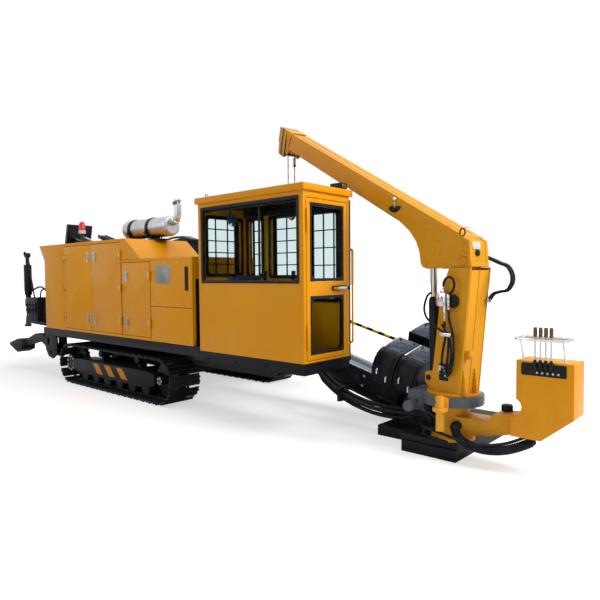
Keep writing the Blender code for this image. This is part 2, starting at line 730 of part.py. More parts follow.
def cab_door(root):
    """The front door with two panes, hinged on its near side."""
    y0, y1, z0, z1 = DOORWAY
    x = CAB_X[1]
    axis = (x + KNUCKLE_RADIUS + GAP, y0 + PLAY / 2, z0)
    hinge = pivot("pivot_cab_door", axis, root)
    holes = [pane(row) for row in DOOR_PANES]
    leaf = plate(rect((y0 + PLAY, y1 - PLAY), (z0 + PLAY, z1 - PLAY)), x - CAB_WALL, x, "YZ", holes)
    add = []
    for z in (z0 + 0.23, z1 - 0.218):
        add.append(rod((axis[0], axis[1], z - KNUCKLE_LENGTH), (axis[0], axis[1], z + KNUCKLE_LENGTH),
                       KNUCKLE_RADIUS, 12))
        add.append(box((x - 0.004, x + 0.009), (axis[1], y0 + 0.045),
                       (z - KNUCKLE_LENGTH * 0.9, z + KNUCKLE_LENGTH * 0.9)))
    add.append(tube([(x - 0.004, -0.700, 1.461), (x + 0.045, -0.700, 1.461),
                     (x + 0.045, -0.520, 1.461), (x - 0.004, -0.520, 1.461)], 0.013))
    part("cab_door", "yellow", hinge, leaf, add)
    lows = [min(row[i] for row in DOOR_PANES) - 0.02 for i in (0, 2)]
    highs = [max(row[i] for row in DOOR_PANES) + 0.02 for i in (1, 3)]
    back = x - CAB_WALL - GAP
    glass = box((back - GLASS, back), (lows[0], highs[0]), (lows[1], highs[1]))
    part("glass_door", "glass", hinge, glass)


def cab_glass(root):
    """Side, right and rear panes, each on the inner face of its wall."""
    x0, x1 = CAB_X
    y0, y1 = CAB_Y
    lap = 0.02
    near = y0 + CAB_WALL + GAP
    a, b, c, d = LEFT_WINDOW
    part("glass_left", "glass", root, box((a - 0.008, x1 - CAB_WALL - 0.001), (near, near + GLASS), (c - lap, d + lap)))
    far = y1 - CAB_WALL - GAP
    rows = RIGHT_WINDOWS
    part("glass_right", "glass", root,
         box((rows[0][0] - lap, rows[-1][1] + lap), (far - GLASS, far),
             (min(row[2] for row in rows) - lap, rows[0][3] + lap)))
    rear = x0 + CAB_WALL + GAP
    a, b, c, d = REAR_WINDOW
    part("glass_rear", "glass", root, box((rear, rear + GLASS), (a - 0.008, b + lap), (c - lap, d + lap)))


def boxes(rows):
    """Several separate boxes as one shape, each from three (low, high) pairs."""
    bm = bmesh.new()
    for x, y, z in rows:
        made = bmesh.ops.create_cube(bm, size=1.0)["verts"]
        size = Vector((x[1] - x[0], y[1] - y[0], z[1] - z[0]))
        bmesh.ops.scale(bm, vec=size, verts=made)
        middle = Vector((x[0] + x[1], y[0] + y[1], z[0] + z[1])) / 2
        bmesh.ops.translate(bm, vec=middle, verts=made)
    return from_bmesh(bm)


def grid(x, z, columns, rows):
    """The (low, high) pairs of rectangular holes that leave bars between them."""
    holes = []
    wide = (x[1] - x[0] - GUARD_BAR * (columns - 1)) / columns
    tall = (z[1] - z[0] - GUARD_BAR * (rows - 1)) / rows
    for i in range(columns):
        for j in range(rows):
            left = x[0] + i * (wide + GUARD_BAR)
            low = z[0] + j * (tall + GUARD_BAR)
            holes.append(((left, left + wide), (low, low + tall)))
    return holes


def window_guards(root):
    """Bar grilles: one stands off the right wall, one sits behind the rear pane."""
    y = CAB_Y[1] + GUARD_STAND_OFF
    rim = 0.03
    holes = []
    for (x0, x1, z0, z1), columns in zip(RIGHT_WINDOWS, (2, 3, 3)):
        holes += grid((x0, x1), (z0, z1), columns, 5)
    left, right = RIGHT_WINDOWS[0][0] - rim, RIGHT_WINDOWS[-1][1] + rim
    low = RIGHT_WINDOWS[-1][2] - rim
    outline = rect((left, right), (low, RIGHT_WINDOWS[0][3] + rim))
    frame = plate(outline, y, y + GUARD_BAR)
    cutter = boxes([(x, (y - 0.02, y + 0.03), z) for x, z in holes])
    add = []
    for x in (left + 0.015, right - 0.015):
        for z in (low + 0.1, RIGHT_WINDOWS[0][3]):
            add.append(box((x - 0.012, x + 0.012), (CAB_Y[1] + GAP, y + 0.004), (z - 0.012, z + 0.012)))
    part("window_guard_right", "black", root, frame, add, [cutter])
    x = CAB_X[0] - GAP
    y0, y1, z0, z1 = REAR_WINDOW
    outline = rect((y0 - rim, y1 + rim), (z0 - rim, z1 + rim))
    cutter = boxes([((x - 0.03, x + 0.02), y, z) for y, z in grid((y0, y1), (z0, z1), 3, 5)])
    part("window_guard_rear", "black", root, plate(outline, x - GUARD_BAR, x, "YZ"), [], [cutter])


def cab_fittings(root):
    """The driver's seat with its arm consoles, and the grab rail at the doorway's far side."""
    y = -0.79
    floor = CAB_FLOOR[1] + GAP
    seat = box((2.33, 2.82), (y - 0.20, y + 0.20), (1.12, 1.24))
    back = plate([(2.36, 1.20), (2.46, 1.20), (2.40, 1.58), (2.32, 1.58)], y - 0.19, y + 0.19)
    add = [back, box((2.40, 2.74), (y - 0.14, y + 0.14), (floor, 1.13))]
    for side in (-1, 1):
        edges = sorted((y + side * 0.17, y + side * 0.26))
        add.append(box((2.50, 2.98), edges, (1.14, 1.44)))
        stick = y + side * 0.215
        add.append(rod((2.90, stick, 1.43), (2.92, stick, 1.58), 0.016, 10))
    part("operator_seat", "seat", root, seat, add)
    y1 = CAB_Y[1] + GAP
    path = [(3.54, y1, 1.86), (3.54, y1 + 0.045, 1.86), (3.565, y1 + 0.060, 1.84),
            (3.565, y1 + 0.060, 0.905), (3.54, y1 + 0.045, 0.885), (3.54, y1, 0.885)]
    part("grab_rail", "yellow", root, tube(path, 0.014))


def side_tanks(root):
    """Fuel and hydraulic tanks low on the far side, in front of one another."""
    low = DECK_TOP
    for name, x in (("hydraulic_tank", (-1.80, -0.35)), ("fuel_tank", (-0.25, 1.70))):
        side = [(0.56, low), (1.12, low), (1.12, 1.16), (1.04, 1.24), (0.56, 1.24)]
        body = plate(side, x[0], x[1], "YZ")
        cap = rod((x[0] + 0.3, 0.80, 1.235), (x[0] + 0.3, 0.80, 1.29), 0.055, 16)
        part(name, "yellow" if name == "fuel_tank" else "black", root, body, [cap])


# Drilling boom


def boom_frame():
    """From the boom's own frame to the machine's."""
    x, z = BOOM_DATUM
    return Matrix.Translation((x, 0, z)) @ Matrix.Rotation(BOOM_SLOPE, 4, "Y")


def beam_section():
    """The beam's section: two flanges and a box between them."""
    y, half, depth = BOOM_Y, BOOM_HALF, BOOM_DEPTH
    web, flange = half - 0.035, 0.035
    right = [(y + half, -depth), (y + half, -depth + flange - 0.006), (y + web, -depth + flange),
             (y + web, -flange), (y + half, -flange + 0.006), (y + half, 0.0)]
    left = [(2 * y - a, b) for a, b in reversed(right)]
    return right + left


def drill_boom(boom, slope):
    """The inclined beam that the drive head runs on, with its rack and its hose tray."""
    beam = plate(beam_section(), BOOM_REAR, BOOM_FRONT, "YZ")
    y = BOOM_Y
    back = slope.inverted()
    eye = back @ Vector((TILT_EYE[0], 0, TILT_EYE[1]))
    pin = back @ Vector((TILT_PIVOT[0], 0, TILT_PIVOT[1]))
    depth = -BOOM_DEPTH
    tray = [(y + 0.30, 0.02), (y + 0.46, 0.02), (y + 0.46, 0.09), (y + 0.448, 0.09), (y + 0.448, 0.032),
            (y + 0.312, 0.032), (y + 0.312, 0.09), (y + 0.30, 0.09)]
    add = [
        box((BOOM_REAR - 0.012, BOOM_REAR + 0.05), (y - 0.24, y + 0.24), (-0.20, 0.22)),
        plate([(pin.x - 0.30, depth + 0.02), (pin.x - 0.06, pin.z - 0.075), (pin.x + 0.06, pin.z - 0.075),
               (pin.x + 0.30, depth + 0.02)], y - 0.14, y + 0.14),
        rod((pin.x, SLOT_Y[0] - 0.05, pin.z), (pin.x, SLOT_Y[1] + 0.05, pin.z), 0.035, 20),
        plate(tray, -6.60, -3.30, "YZ"),
    ]
    for u in (-6.5, -5.5, -4.5, -3.5):
        add.append(box((u - 0.03, u + 0.03), (y + 0.10, y + 0.38), (-0.15, -0.12)))
        add.append(box((u - 0.025, u + 0.025), (y + 0.35, y + 0.375), (-0.14, 0.026)))
    for side in (-1, 1):
        edges = sorted((y + side * 0.045, y + side * 0.075))
        ear = [(eye.x - 0.11, depth + 0.02), (eye.x - 0.05, eye.z - 0.05), (eye.x + 0.05, eye.z - 0.05),
               (eye.x + 0.11, depth + 0.02)]
        add.append(plate(ear, *edges))
    cut = [rod((eye.x, y - 0.2, eye.z), (eye.x, y + 0.2, eye.z), bore(0.025, 16), 16)]
    part("drill_boom", "dark_grey", boom, beam, add, cut, slope)
    rack = box((-6.55, 0.40), (y - 0.03, y + 0.03), (GAP, 0.036))
    part("drive_rack", "steel", boom, rack, [], [], slope)


def drive_head(boom, slope):
    """The carriage with its gearbox, two motors and valve block, and the spindle in front."""
    y = BOOM_Y
    low, high = HEAD_U
    middle = slope @ Vector(((low + high) / 2, y, 0.0))
    base = pivot("pivot_drive_head", middle, boom)
    skirt = BOOM_HALF + 0.0055
    saddle = [(y - skirt - 0.04, -0.055), (y - skirt, -0.055), (y - skirt, 0.0055), (y - 0.045, 0.0055),
              (y - 0.045, 0.050), (y + 0.045, 0.050), (y + 0.045, 0.0055), (y + skirt, 0.0055),
              (y + skirt, -0.055), (y + skirt + 0.04, -0.055), (y + skirt + 0.04, 0.09),
              (y - skirt - 0.04, 0.09)]
    carriage = plate(saddle, low - 0.05, high + 0.05, "YZ")
    w = DRILL_AXIS_W
    half = HEAD_HALF
    case = [(y - half, 0.08), (y + half, 0.08), (y + half, 0.44), (y + half - 0.08, 0.52),
            (y - half + 0.08, 0.52), (y - half, 0.44)]
    add = [plate(case, low + 0.22, high - 0.08, "YZ"),
           rod((high - 0.085, y, w), (high, y, w), 0.13, 24),
           box((low + 0.10, high - 0.20), (y - 0.13, y + 0.13), (0.51, 0.64)),
           box((low + 0.16, high - 0.26), (y - 0.08, y + 0.08), (0.63, 0.71))]
    for side in (-1, 1):
        at = y + side * 0.11
        add.append(rod((low - 0.12, at, 0.24), (low + 0.23, at, 0.24), 0.085, 18))
        add.append(rod((low - 0.02, at, 0.42), (low + 0.23, at, 0.42), 0.070, 16))
    for u in (low - 0.04, high - 0.06):
        for side in (-1, 1):
            add.append(box((u, u + 0.10), sorted((y + side * 0.06, y + side * 0.13)), (GAP, 0.012)))
    part("drive_head", "black", base, carriage, add, [], slope)
    spin = pivot("pivot_spindle", slope @ Vector((high, y, w)), base)
    profile = [(0.0, 0.40), (0.032, 0.40), (0.045, 0.28), (0.060, 0.27), (0.060, 0.20), (0.048, 0.19),
               (0.048, 0.05), (0.080, 0.04), (0.080, GAP), (0.0, GAP)]
    stand = Matrix.Translation((high, y, w)) @ Matrix.Rotation(math.radians(90), 4, "Y")
    part("drive_spindle", "steel", spin, turned(profile, stand, 20), [], [], slope)


def rolled(p, q):
    """A point of the clamps' section, square to their rolled top, in the boom's frame."""
    return (BOOM_Y + p * math.cos(VISE_ROLL) - q * math.sin(VISE_ROLL),
            DRILL_AXIS_W + p * math.sin(VISE_ROLL) + q * math.cos(VISE_ROLL))


def vise_outline(bottom_arc):
    """The clamp housing's section: flat tops beside an open throat, and a round cover at each end."""
    y, half, throat = BOOM_Y, VISE_HALF, THROAT_HALF
    cover = [(VISE_REACH - 0.05, -0.17), (VISE_REACH, -0.10)]
    for degrees in range(0, 91, 18):
        angle = math.radians(degrees)
        cover.append((VISE_SHOULDER + (VISE_REACH - VISE_SHOULDER) * math.cos(angle),
                      -0.02 + (VISE_TOP + 0.02) * math.sin(angle)))
    cover.append((throat, VISE_TOP))
    mirrored = [(-p, q) for p, q in reversed(cover)]
    points = [rolled(p, q) for p, q in cover + arc((0, 0), throat, 0, -180, 8) + mirrored]
    if bottom_arc:
        return points + [rolled(p, q) for p, q in arc((0, 0), half, 215, 325, 10)]
    return points + [(y - half, -0.02), (y - half, -0.14), (y - half + 0.10, -0.24), (y + half - 0.10, -0.24),
                     (y + half, -0.14), (y + half, -0.02)]


def vise_ports(low, high):
    """The round ports sunk in the clamps' tops."""
    ports = []
    for side in (-1, 1):
        ends = [rolled(side * 0.235, q) for q in (VISE_TOP - 0.03, VISE_TOP + 0.05)]
        ports.append(rod(*[((low + high) / 2, *end) for end in ends], 0.045, 16))
    return ports


def vises(boom, slope):
    """The fixed clamp and, in front of it, the clamp that turns to break out a joint."""
    low, high = VISE_REAR_U
    y, w = BOOM_Y, DRILL_AXIS_W
    over = box((low - 0.1, high + 0.1), (y - BOOM_HALF - GAP, y + BOOM_HALF + GAP), (-0.5, GAP))
    fixed = plate(vise_outline(False), low, high, "YZ")
    add = [rod((low - 0.035, y + side * 0.20, 0.12), (low + 0.01, y + side * 0.20, 0.12), 0.07, 16)
           for side in (-1, 1)]
    part("vise_rear", "black", boom, fixed, add, [over] + vise_ports(low, high), slope)
    start = high + VISE_GAP
    end = start + (high - low)
    turn = pivot("pivot_vise_front", slope @ Vector((start, y, w)), boom)
    clamp = plate(vise_outline(True), start, end, "YZ")
    ring = plate(arc((y, w), 0.20, 180, 360, 12) + arc((y, w), 0.125, 0, -180, 12), high + GAP,
                 start + 0.004, "YZ")
    part("vise_front", "black", turn, clamp, [ring], vise_ports(start, end), slope)


def guard_bar(boom, slope):
    """The striped bar along the far side of the boom on its two stands."""
    y = BOOM_Y + 0.42
    bar = box((-1.60, 0.30), (y - 0.016, y + 0.016), (0.265, 0.297))
    stands = []
    web = BOOM_Y + BOOM_HALF - 0.035
    for u in (-1.50, 0.20):
        stands.append(box((u - 0.014, u + 0.014), (y - 0.014, y + 0.014), (-0.14, 0.27)))
        stands.append(box((u - 0.03, u + 0.03), (web + GAP, y + 0.016), (-0.16, -0.125)))
    part("guard_bar", "black", boom, bar, stands, [], slope)


def tilt_cylinder(root, boom):
    """The cylinder that raises the rear of the boom: its barrel on the deck, its rod to the boom."""
    foot = Vector((TILT_FOOT[0], BOOM_Y, TILT_FOOT[1]))
    eye = Vector((TILT_EYE[0], BOOM_Y, TILT_EYE[1]))
    along = (eye - foot).normalized()
    base = pivot("pivot_tilt_barrel", foot, root)
    barrel = rod(foot + along * 0.02, foot + along * 0.50, 0.055, 20)
    bore = rod(foot + along * 0.10, foot + along * 0.60, 0.0353, 20)
    add = [rod(foot - Vector((0, 0.058, 0)), foot + Vector((0, 0.058, 0)), 0.050, 16),
           rod(foot - Vector((0, 0.10, 0)), foot + Vector((0, 0.10, 0)), 0.025, 16)]
    part("tilt_barrel", "black", base, barrel, add, [bore])
    slide = pivot("pivot_tilt_rod", foot + along * 0.12, base)
    bar = rod(foot + along * 0.42, eye - along * 0.01, 0.035, 20)
    add = [rod(eye - Vector((0, 0.038, 0)), eye + Vector((0, 0.038, 0)), 0.045, 16)]
    hole = rod(eye - Vector((0, 0.10, 0)), eye + Vector((0, 0.10, 0)), 0.032, 16)
    part("tilt_rod", "steel", slide, bar, add, [hole])


# Front anchor, crane and console


def anchor(boom, slope):
    """The ground plate with the cheeks that hold the boom's foot, and the crane's cross beam."""
    y = BOOM_Y
    outline = [(3.90, -0.425), (4.336, -0.425), (4.336, -0.70), (4.86, -0.70), (4.86, 0.82),
               (3.90, 0.82)]
    base = plate(outline, 0.0, BASE_HEIGHT, "XY")
    add = []
    cheek = [(3.66, 0.275), (3.76, 0.09), (4.32, 0.09), (4.10, 0.335), (3.94, 0.375)]
    for low, high in ((y - BOOM_HALF - 0.08, y - BOOM_HALF - GAP), (y + BOOM_HALF + GAP, y + BOOM_HALF + 0.08)):
        add.append(plate(cheek, low, high))
    add.append(box((4.07, 4.11), (y - 0.17, y + 0.17), (0.09, 0.30)))
    add.append(box((4.30, 4.86), (-0.66, 0.30), (0.09, 0.15)))
    for far in (0.56, 0.72):
        add.append(rod((4.20, far, 0.09), (4.20, far, 0.42), 0.07, 16))
    add.append(box((4.12, 4.29), (0.40, 0.77), (0.28, 0.35)))
    vise = box((0.3, VISE_REAR_U[1] + GAP), (y - 0.4, y + 0.4), (-0.24 - GAP, 0.5))
    vise.data.transform(slope)
    part("anchor_frame", "black", boom, base, add, [vise])


def pedestal(boom):
    """The crane's foot with the arm that carries the control console."""
    x, y = CRANE_X, CRANE_Y
    foot_z = 0.15 + GAP
    top = RING_Z[0] - GAP
    profile = [(0.0, top), (0.21, top), (0.21, top - 0.02), (0.145, top - 0.03), (0.145, foot_z + 0.06),
               (0.19, foot_z + 0.025), (0.19, foot_z), (0.0, foot_z)]
    column = turned(profile, Matrix.Translation((x, y, 0)), 24)
    arm = [(x + 0.05, 0.215), (5.10, 0.250), (5.30, 0.305), (5.30, 0.455), (5.14, 0.440), (5.09, 0.372),
           (x + 0.05, 0.372)]
    add = [plate(arm, y - 0.13, y + 0.09)]
    for turn in (45, 135, 225, 315):
        angle = math.radians(turn)
        dx, dy = math.cos(angle), math.sin(angle)
        rib = plate([(0.10, foot_z + 0.005), (0.185, foot_z + 0.005), (0.185, foot_z + 0.03), (0.10, 0.30)],
                    -0.012, 0.012)
        rib.data.transform(Matrix.Translation((x, y, 0)) @ Matrix.Rotation(angle, 4, "Z"))
        add.append(rib)
    part("crane_pedestal", "crane_yellow", boom, column, add)
    low, high = RING_Z
    ring = rod((x, y, low), (x, y, high), RING_RADIUS, 36)
    pinion_x, pinion_y = x + 0.027, y - 0.296
    motor_x = x - 0.32
    add = [box((x - 0.38, x - 0.1), (y - 0.13, y + 0.16), (low + 0.003, high - 0.003)),
           box((motor_x - 0.045, motor_x + 0.045), (y - 0.12, y - 0.02), (low - 0.09, low + 0.01)),
           rod((motor_x, y - 0.10, low - 0.045), (motor_x, y - 0.235, low - 0.045), 0.050, 18),
           rod((pinion_x, pinion_y, 0.275), (pinion_x, pinion_y, high + 0.018), 0.035, 16),
           rod((pinion_x, pinion_y, low - 0.022), (pinion_x, pinion_y, low + 0.004), 0.064, 18)]
    part("slewing_housing", "dark_grey", boom, ring, add)


def console(boom):
    """The control box on its bent neck, with the lever bank and the rail round it."""
    y0, y1 = CONSOLE_Y
    x0, x1 = CONSOLE_X
    top = CONSOLE_TOP
    neck = 5.30 + GAP
    side = [(neck, 0.305), (5.533, 0.305), (x1, 0.50), (x1, top), (x0, top), (x0, 0.61)]
    side += [(x0 + 0.032, 0.585), (x0 + 0.044, 0.545), (x0 + 0.030, 0.495), (neck + 0.02, 0.462), (neck, 0.455)]
    shell = plate(side, y0, y1)
    add = []
    for number in range(4):
        x = x0 + 0.147 + number * 0.0393
        y = y0 - 0.014
        add.append(rod((x, y0 + 0.014, top - 0.045), (x, y - 0.002, top - 0.034), 0.014, 10))
        add.append(rod((x, y, top - 0.040), (x, y, top + 0.20), 0.008, 8))
        add.append(rod((x, y, top + 0.195), (x, y, top + 0.265), 0.013, 8))
    part("control_console", "yellow", boom, shell, add)
    rail_z = top + 0.172
    xa, xb = x0, x1 - 0.045
    ya, yb = y0 - 0.042, y0 + 0.158
    ring = []
    for cx, cy, start in ((xb, yb, 0), (xa, yb, 90), (xa, ya, 180), (xb, ya, 270)):
        r = 0.035
        sx = 1 if cx == xb else -1
        sy = 1 if cy == yb else -1
        ring += [(px, py, rail_z) for px, py in arc((cx - sx * r, cy - sy * r), r, start, start + 90, 3)]
    loop = tube(ring, 0.012, 2, closed=True)
    legs = []
    for x in (xa + 0.046, xb - 0.022):
        legs.append(tube([(x, y0 + 0.02, top + GAP), (x, y0 + 0.02, top + 0.03), (x, ya + 0.001, rail_z)], 0.009))
    part("console_rail", "steel", boom, loop, legs)


def crane_place():
    """From the crane's own frame, its jib along +X, to the machine's."""
    return Matrix.Translation((CRANE_X, CRANE_Y, 0)) @ Matrix.Rotation(math.pi - CRANE_TURN, 4, "Z")


def column_back(z):
    """How far back the column's rear face lies at a height: it leans."""
    return -0.171 - 0.1 * (z - RING_Z[1])


def crane_column(boom, place):
    """The leaning box column on its flange, with the ears of the jib's pin and of the cylinder."""
    slew = pivot("pivot_crane_slew", place @ Vector((0, 0, RING_Z[1])), boom)
    base_z = RING_Z[1] + GAP
    low = base_z + 0.012
    pivot_a, pivot_z = LUFF_PIVOT
    foot_a, foot_z = LUFF_FOOT
    flange = rod((0, 0, base_z), (0, 0, base_z + 0.02), COLUMN_FLANGE, 30)
    front = [(0.03, 1.40), (0.105, 0.80), (0.150, low)]
    side = [(column_back(low), low), (column_back(COLUMN_TOP), COLUMN_TOP), (-0.062, COLUMN_TOP), *front]
    inset_by = 0.0015
    seat = arc(LUFF_PIVOT, SWING_ROOM, 225, 310, 7)
    core = [(column_back(low) + inset_by, low), (column_back(seat[0][1]) + inset_by, seat[0][1]), *seat,
            (-0.052, seat[-1][1] - 0.005), *[(a - inset_by, z) for a, z in front]]
    add = [plate(core, -COLUMN_HALF + 0.0135, COLUMN_HALF - 0.0135)]
    for edge in (-1, 1):
        add.append(plate(side, *sorted((edge * (COLUMN_HALF - 0.014), edge * COLUMN_HALF))))
    neck = [(-0.105, 1.56), (-0.195, 1.56), (-0.200, 1.62)]
    head = arc(LUFF_PIVOT, 0.056, 205, -25, 9)
    add.append(plate([*neck, *head, (-0.118, 1.62)], -0.085, 0.085))
    ear = [(0.05, 0.575), (foot_a, foot_z - 0.085), (foot_a + 0.038, foot_z - 0.045), (foot_a + 0.038, foot_z + 0.045),
           (foot_a - 0.05, foot_z + 0.07), (0.05, 0.80)]
    for start, end in ((-0.100, -0.068), (0.068, 0.100)):
        add.append(plate(ear, start, end))
    for b in (-0.045, 0.105):
        rib = [(-0.10, low), (-0.218, low), (-0.218, low + 0.035), (column_back(0.78) - 0.006, 0.78),
               (-0.10, 0.78)]
        add.append(plate(rib, b - 0.009, b + 0.009))
    add.append(rod((pivot_a, -0.132, pivot_z), (pivot_a, 0.132, pivot_z), 0.035, 20))
    holes = [rod((foot_a, -0.2, foot_z), (foot_a, 0.2, foot_z), bore(0.025, 16), 16)]
    part("crane_column", "crane_yellow", slew, flange, add, holes, place)
    return slew


def jib_at(a, drop):
    """A height on the jib's side view: at a along, drop below its top face (square to it)."""
    return JIB_TOP + math.tan(JIB_SLOPE) * a - drop / math.cos(JIB_SLOPE)


def crane_jib(slew, place):
    """The luffing jib: a hollow box with heel plates, and the inner section that slides in it."""
    pivot_a, pivot_z = LUFF_PIVOT
    eye_a, eye_z = LUFF_EYE
    luff = pivot("pivot_jib_luff", place @ Vector((pivot_a, 0, pivot_z)), slew)
    half, depth = JIB_HALF, JIB_DEPTH
    rear = -0.20
    outer = [(rear, jib_at(rear, depth)), (JIB_REACH, jib_at(JIB_REACH, depth)),
             (JIB_REACH - math.sin(JIB_SLOPE) * depth, jib_at(JIB_REACH - math.sin(JIB_SLOPE) * depth, 0)),
             (rear, jib_at(rear, 0))]
    beam = plate(outer, -half, half)
    back, low = -0.270, 1.649
    heel = [(back, low), (0.190, 1.640), (0.245, 1.655), (0.272, 1.700), (0.285, 1.795), (0.326, 1.892),
            (0.408, 1.993), (0.500, 2.066), (0.62, jib_at(0.62, depth - 0.01)), (0.62, jib_at(0.62, 0.03)),
            (-0.09, jib_at(-0.09, 0.006)), (back + 0.015, jib_at(back + 0.015, 0.006))]
    cheeks = []
    for low, high in ((-half - 0.006, -0.0915), (0.0915, half + 0.006)):
        cheeks.append(plate(heel, low, high))
    cover = [(back + 0.003, 1.657), (back + 0.010, 1.657), (back + 0.022, 1.832), (rear + 0.012, 1.860),
             (rear + 0.012, jib_at(rear + 0.012, 0.014)), (back + 0.019, jib_at(back + 0.019, 0.014))]
    cheeks.append(plate(cover, -0.096, 0.096))
    room = rod((pivot_a, -0.0911, pivot_z), (pivot_a, 0.0911, pivot_z), 0.064, 28)
    pin_hole = rod((pivot_a, -0.3, pivot_z), (pivot_a, 0.3, pivot_z), bore(0.035, 20), 20)
    wall = JIB_WALL
    bore_low, bore_high = 0.30, JIB_REACH + 0.26
    hollow = plate([(bore_low, jib_at(bore_low, depth - wall)), (bore_high, jib_at(bore_high, depth - wall)),
                    (bore_high, jib_at(bore_high, wall)), (bore_low, jib_at(bore_low, wall))],
                   -half + wall, half - wall)
    eye_hole = rod((eye_a, -0.2, eye_z), (eye_a, 0.2, eye_z), bore(0.025, 16), 16)
    part("crane_jib", "crane_yellow", luff, beam, cheeks, [hollow, eye_hole, room, pin_hole], place)
    inner(luff, place)
    drum_a, drum_z = 0.235, 1.86
    end_a = JIB_REACH - 0.083
    drum = rod((drum_a, -0.0912, drum_z), (drum_a, 0.0912, drum_z), 0.055, 18)
    rope = rod((drum_a + 0.02, 0.0, drum_z + 0.035), (end_a, 0.0, jib_at(end_a, depth) - 0.045), 0.006, 8)
    part("hoist_rope", "rope", luff, drum, [rope], [], place)
    return luff


def inner(luff, place):
    """The inner section with the striped head, its sheave and the pin that the hook hangs on."""
    slide = pivot("pivot_jib_extend", place @ Vector((JIB_REACH, 0, jib_at(JIB_REACH, 0.09))), luff)
    half = JIB_HALF - JIB_WALL - 0.0055
    depth = JIB_DEPTH
    edge = JIB_WALL + 0.0055
    low, high = 0.75, JIB_REACH
    bar = plate([(low, jib_at(low, depth - edge)), (high, jib_at(high, depth - edge)),
                 (high, jib_at(high, edge)), (low, jib_at(low, edge))], -half, half)
    start = JIB_REACH + 0.012
    head = [(start, jib_at(start, depth)), (start + 0.02, jib_at(start, depth) - 0.03),
            (start + 0.11, jib_at(start, depth) - 0.075), (start + 0.21, jib_at(start, depth) - 0.01),
            (start + 0.155, jib_at(start + 0.155, -0.005)), (start - 0.07, jib_at(start - 0.07, -0.012)),
            (start - 0.07, jib_at(start - 0.07, -0.0055))]
    cheeks = [plate(head, -JIB_HALF, -JIB_HALF + 0.03), plate(head, JIB_HALF - 0.03, JIB_HALF)]
    nose = plate([(start + 0.09, jib_at(start + 0.09, 0.10)), (start + 0.20, jib_at(start + 0.20, 0.17)),
                  (start + 0.155, jib_at(start + 0.155, -0.005)), (start - 0.07, jib_at(start - 0.07, -0.012)),
                  (start - 0.07, jib_at(start - 0.07, -0.0055))], -JIB_HALF, JIB_HALF)
    pin = hook_pin()
    sheave = rod((pin[0], -0.055, pin[1]), (pin[0], 0.055, pin[1]), 0.062, 20)
    axle = rod((pin[0], -JIB_HALF + 0.01, pin[1]), (pin[0], JIB_HALF - 0.01, pin[1]), 0.022, 12)
    pads = []
    for high_drop, low_drop in ((JIB_WALL + GAP, edge + 0.004), (depth - edge - 0.004, depth - JIB_WALL - GAP)):
        a, b = low + 0.02, low + 0.14
        pads.append(plate([(a, jib_at(a, low_drop)), (b, jib_at(b, low_drop)), (b, jib_at(b, high_drop)),
                           (a, jib_at(a, high_drop))], -0.08, 0.08))
    part("jib_inner", "crane_yellow", slide, bar, cheeks + [nose, sheave, axle] + pads, [], place)
    hook(slide, place)


def hook_pin():
    start = JIB_REACH + 0.012
    return (start + 0.10, jib_at(start, JIB_DEPTH) + 0.005)


def hook(slide, place):
    """The hook block on its two falls, hung level from the head's pin."""
    a, z = hook_pin()
    hang = pivot("pivot_hook_level", place @ Vector((a, 0, z)), slide)
    top = z - 0.40
    cheek = [(a - 0.085, top - 0.20), (a - 0.055, top - 0.25), (a + 0.055, top - 0.25), (a + 0.085, top - 0.20),
             (a + 0.085, top - 0.05), (a + 0.035, top), (a - 0.035, top), (a - 0.085, top - 0.05)]
    block = plate(cheek, -0.045, 0.045)
    falls = []
    for side in (-1, 1):
        x = a + side * (0.062 + 0.006 + GAP)
        falls.append(rod((x, 0, top - 0.06), (x, 0, z), 0.006, 8))
    falls.append(rod((a - 0.0683, 0, z - 0.20), (a - 0.0683, 0, z - 0.10), 0.016, 10))
    shank = rod((a, 0, top - 0.30), (a, 0, top - 0.24), 0.018, 12)
    centre = (a, top - 0.37)
    sweep = [(centre[0] + 0.0, 0.0, top - 0.29)]
    for degrees in range(60, -200, -20):
        angle = math.radians(degrees)
        sweep.append((centre[0] + 0.055 * math.cos(angle), 0.0, centre[1] + 0.055 * math.sin(angle)))
    part("hook_block", "crane_yellow", hang, block, falls + [shank, tube(sweep, 0.017)], [], place)


def luff_cylinder(slew, place):
    """The jib's cylinder: barrel on the column, rod to the jib's heel."""
    foot = Vector((LUFF_FOOT[0], 0, LUFF_FOOT[1]))
    eye = Vector((LUFF_EYE[0], 0, LUFF_EYE[1]))
    along = (eye - foot).normalized()
    base = pivot("pivot_luff_barrel", place @ foot, slew)
    barrel = rod(foot + along * 0.02, foot + along * 0.60, 0.052, 20)
    bore = rod(foot + along * 0.10, foot + along * 0.70, 0.0303, 20)
    add = [rod(foot - Vector((0, 0.062, 0)), foot + Vector((0, 0.062, 0)), 0.048, 16),
           rod(foot - Vector((0, 0.105, 0)), foot + Vector((0, 0.105, 0)), 0.025, 16)]
    part("luff_barrel", "black", base, barrel, add, [bore], place)
    slide = pivot("pivot_luff_rod", place @ (foot + along * 0.12), base)
    bar = rod(foot + along * 0.20, eye - along * 0.01, 0.030, 20)
    add = [rod(eye - Vector((0, 0.050, 0)), eye + Vector((0, 0.050, 0)), 0.042, 16)]
    hole = rod(eye - Vector((0, 0.10, 0)), eye + Vector((0, 0.10, 0)), 0.031, 16)
    part("luff_rod", "steel", slide, bar, add, [hole], place)


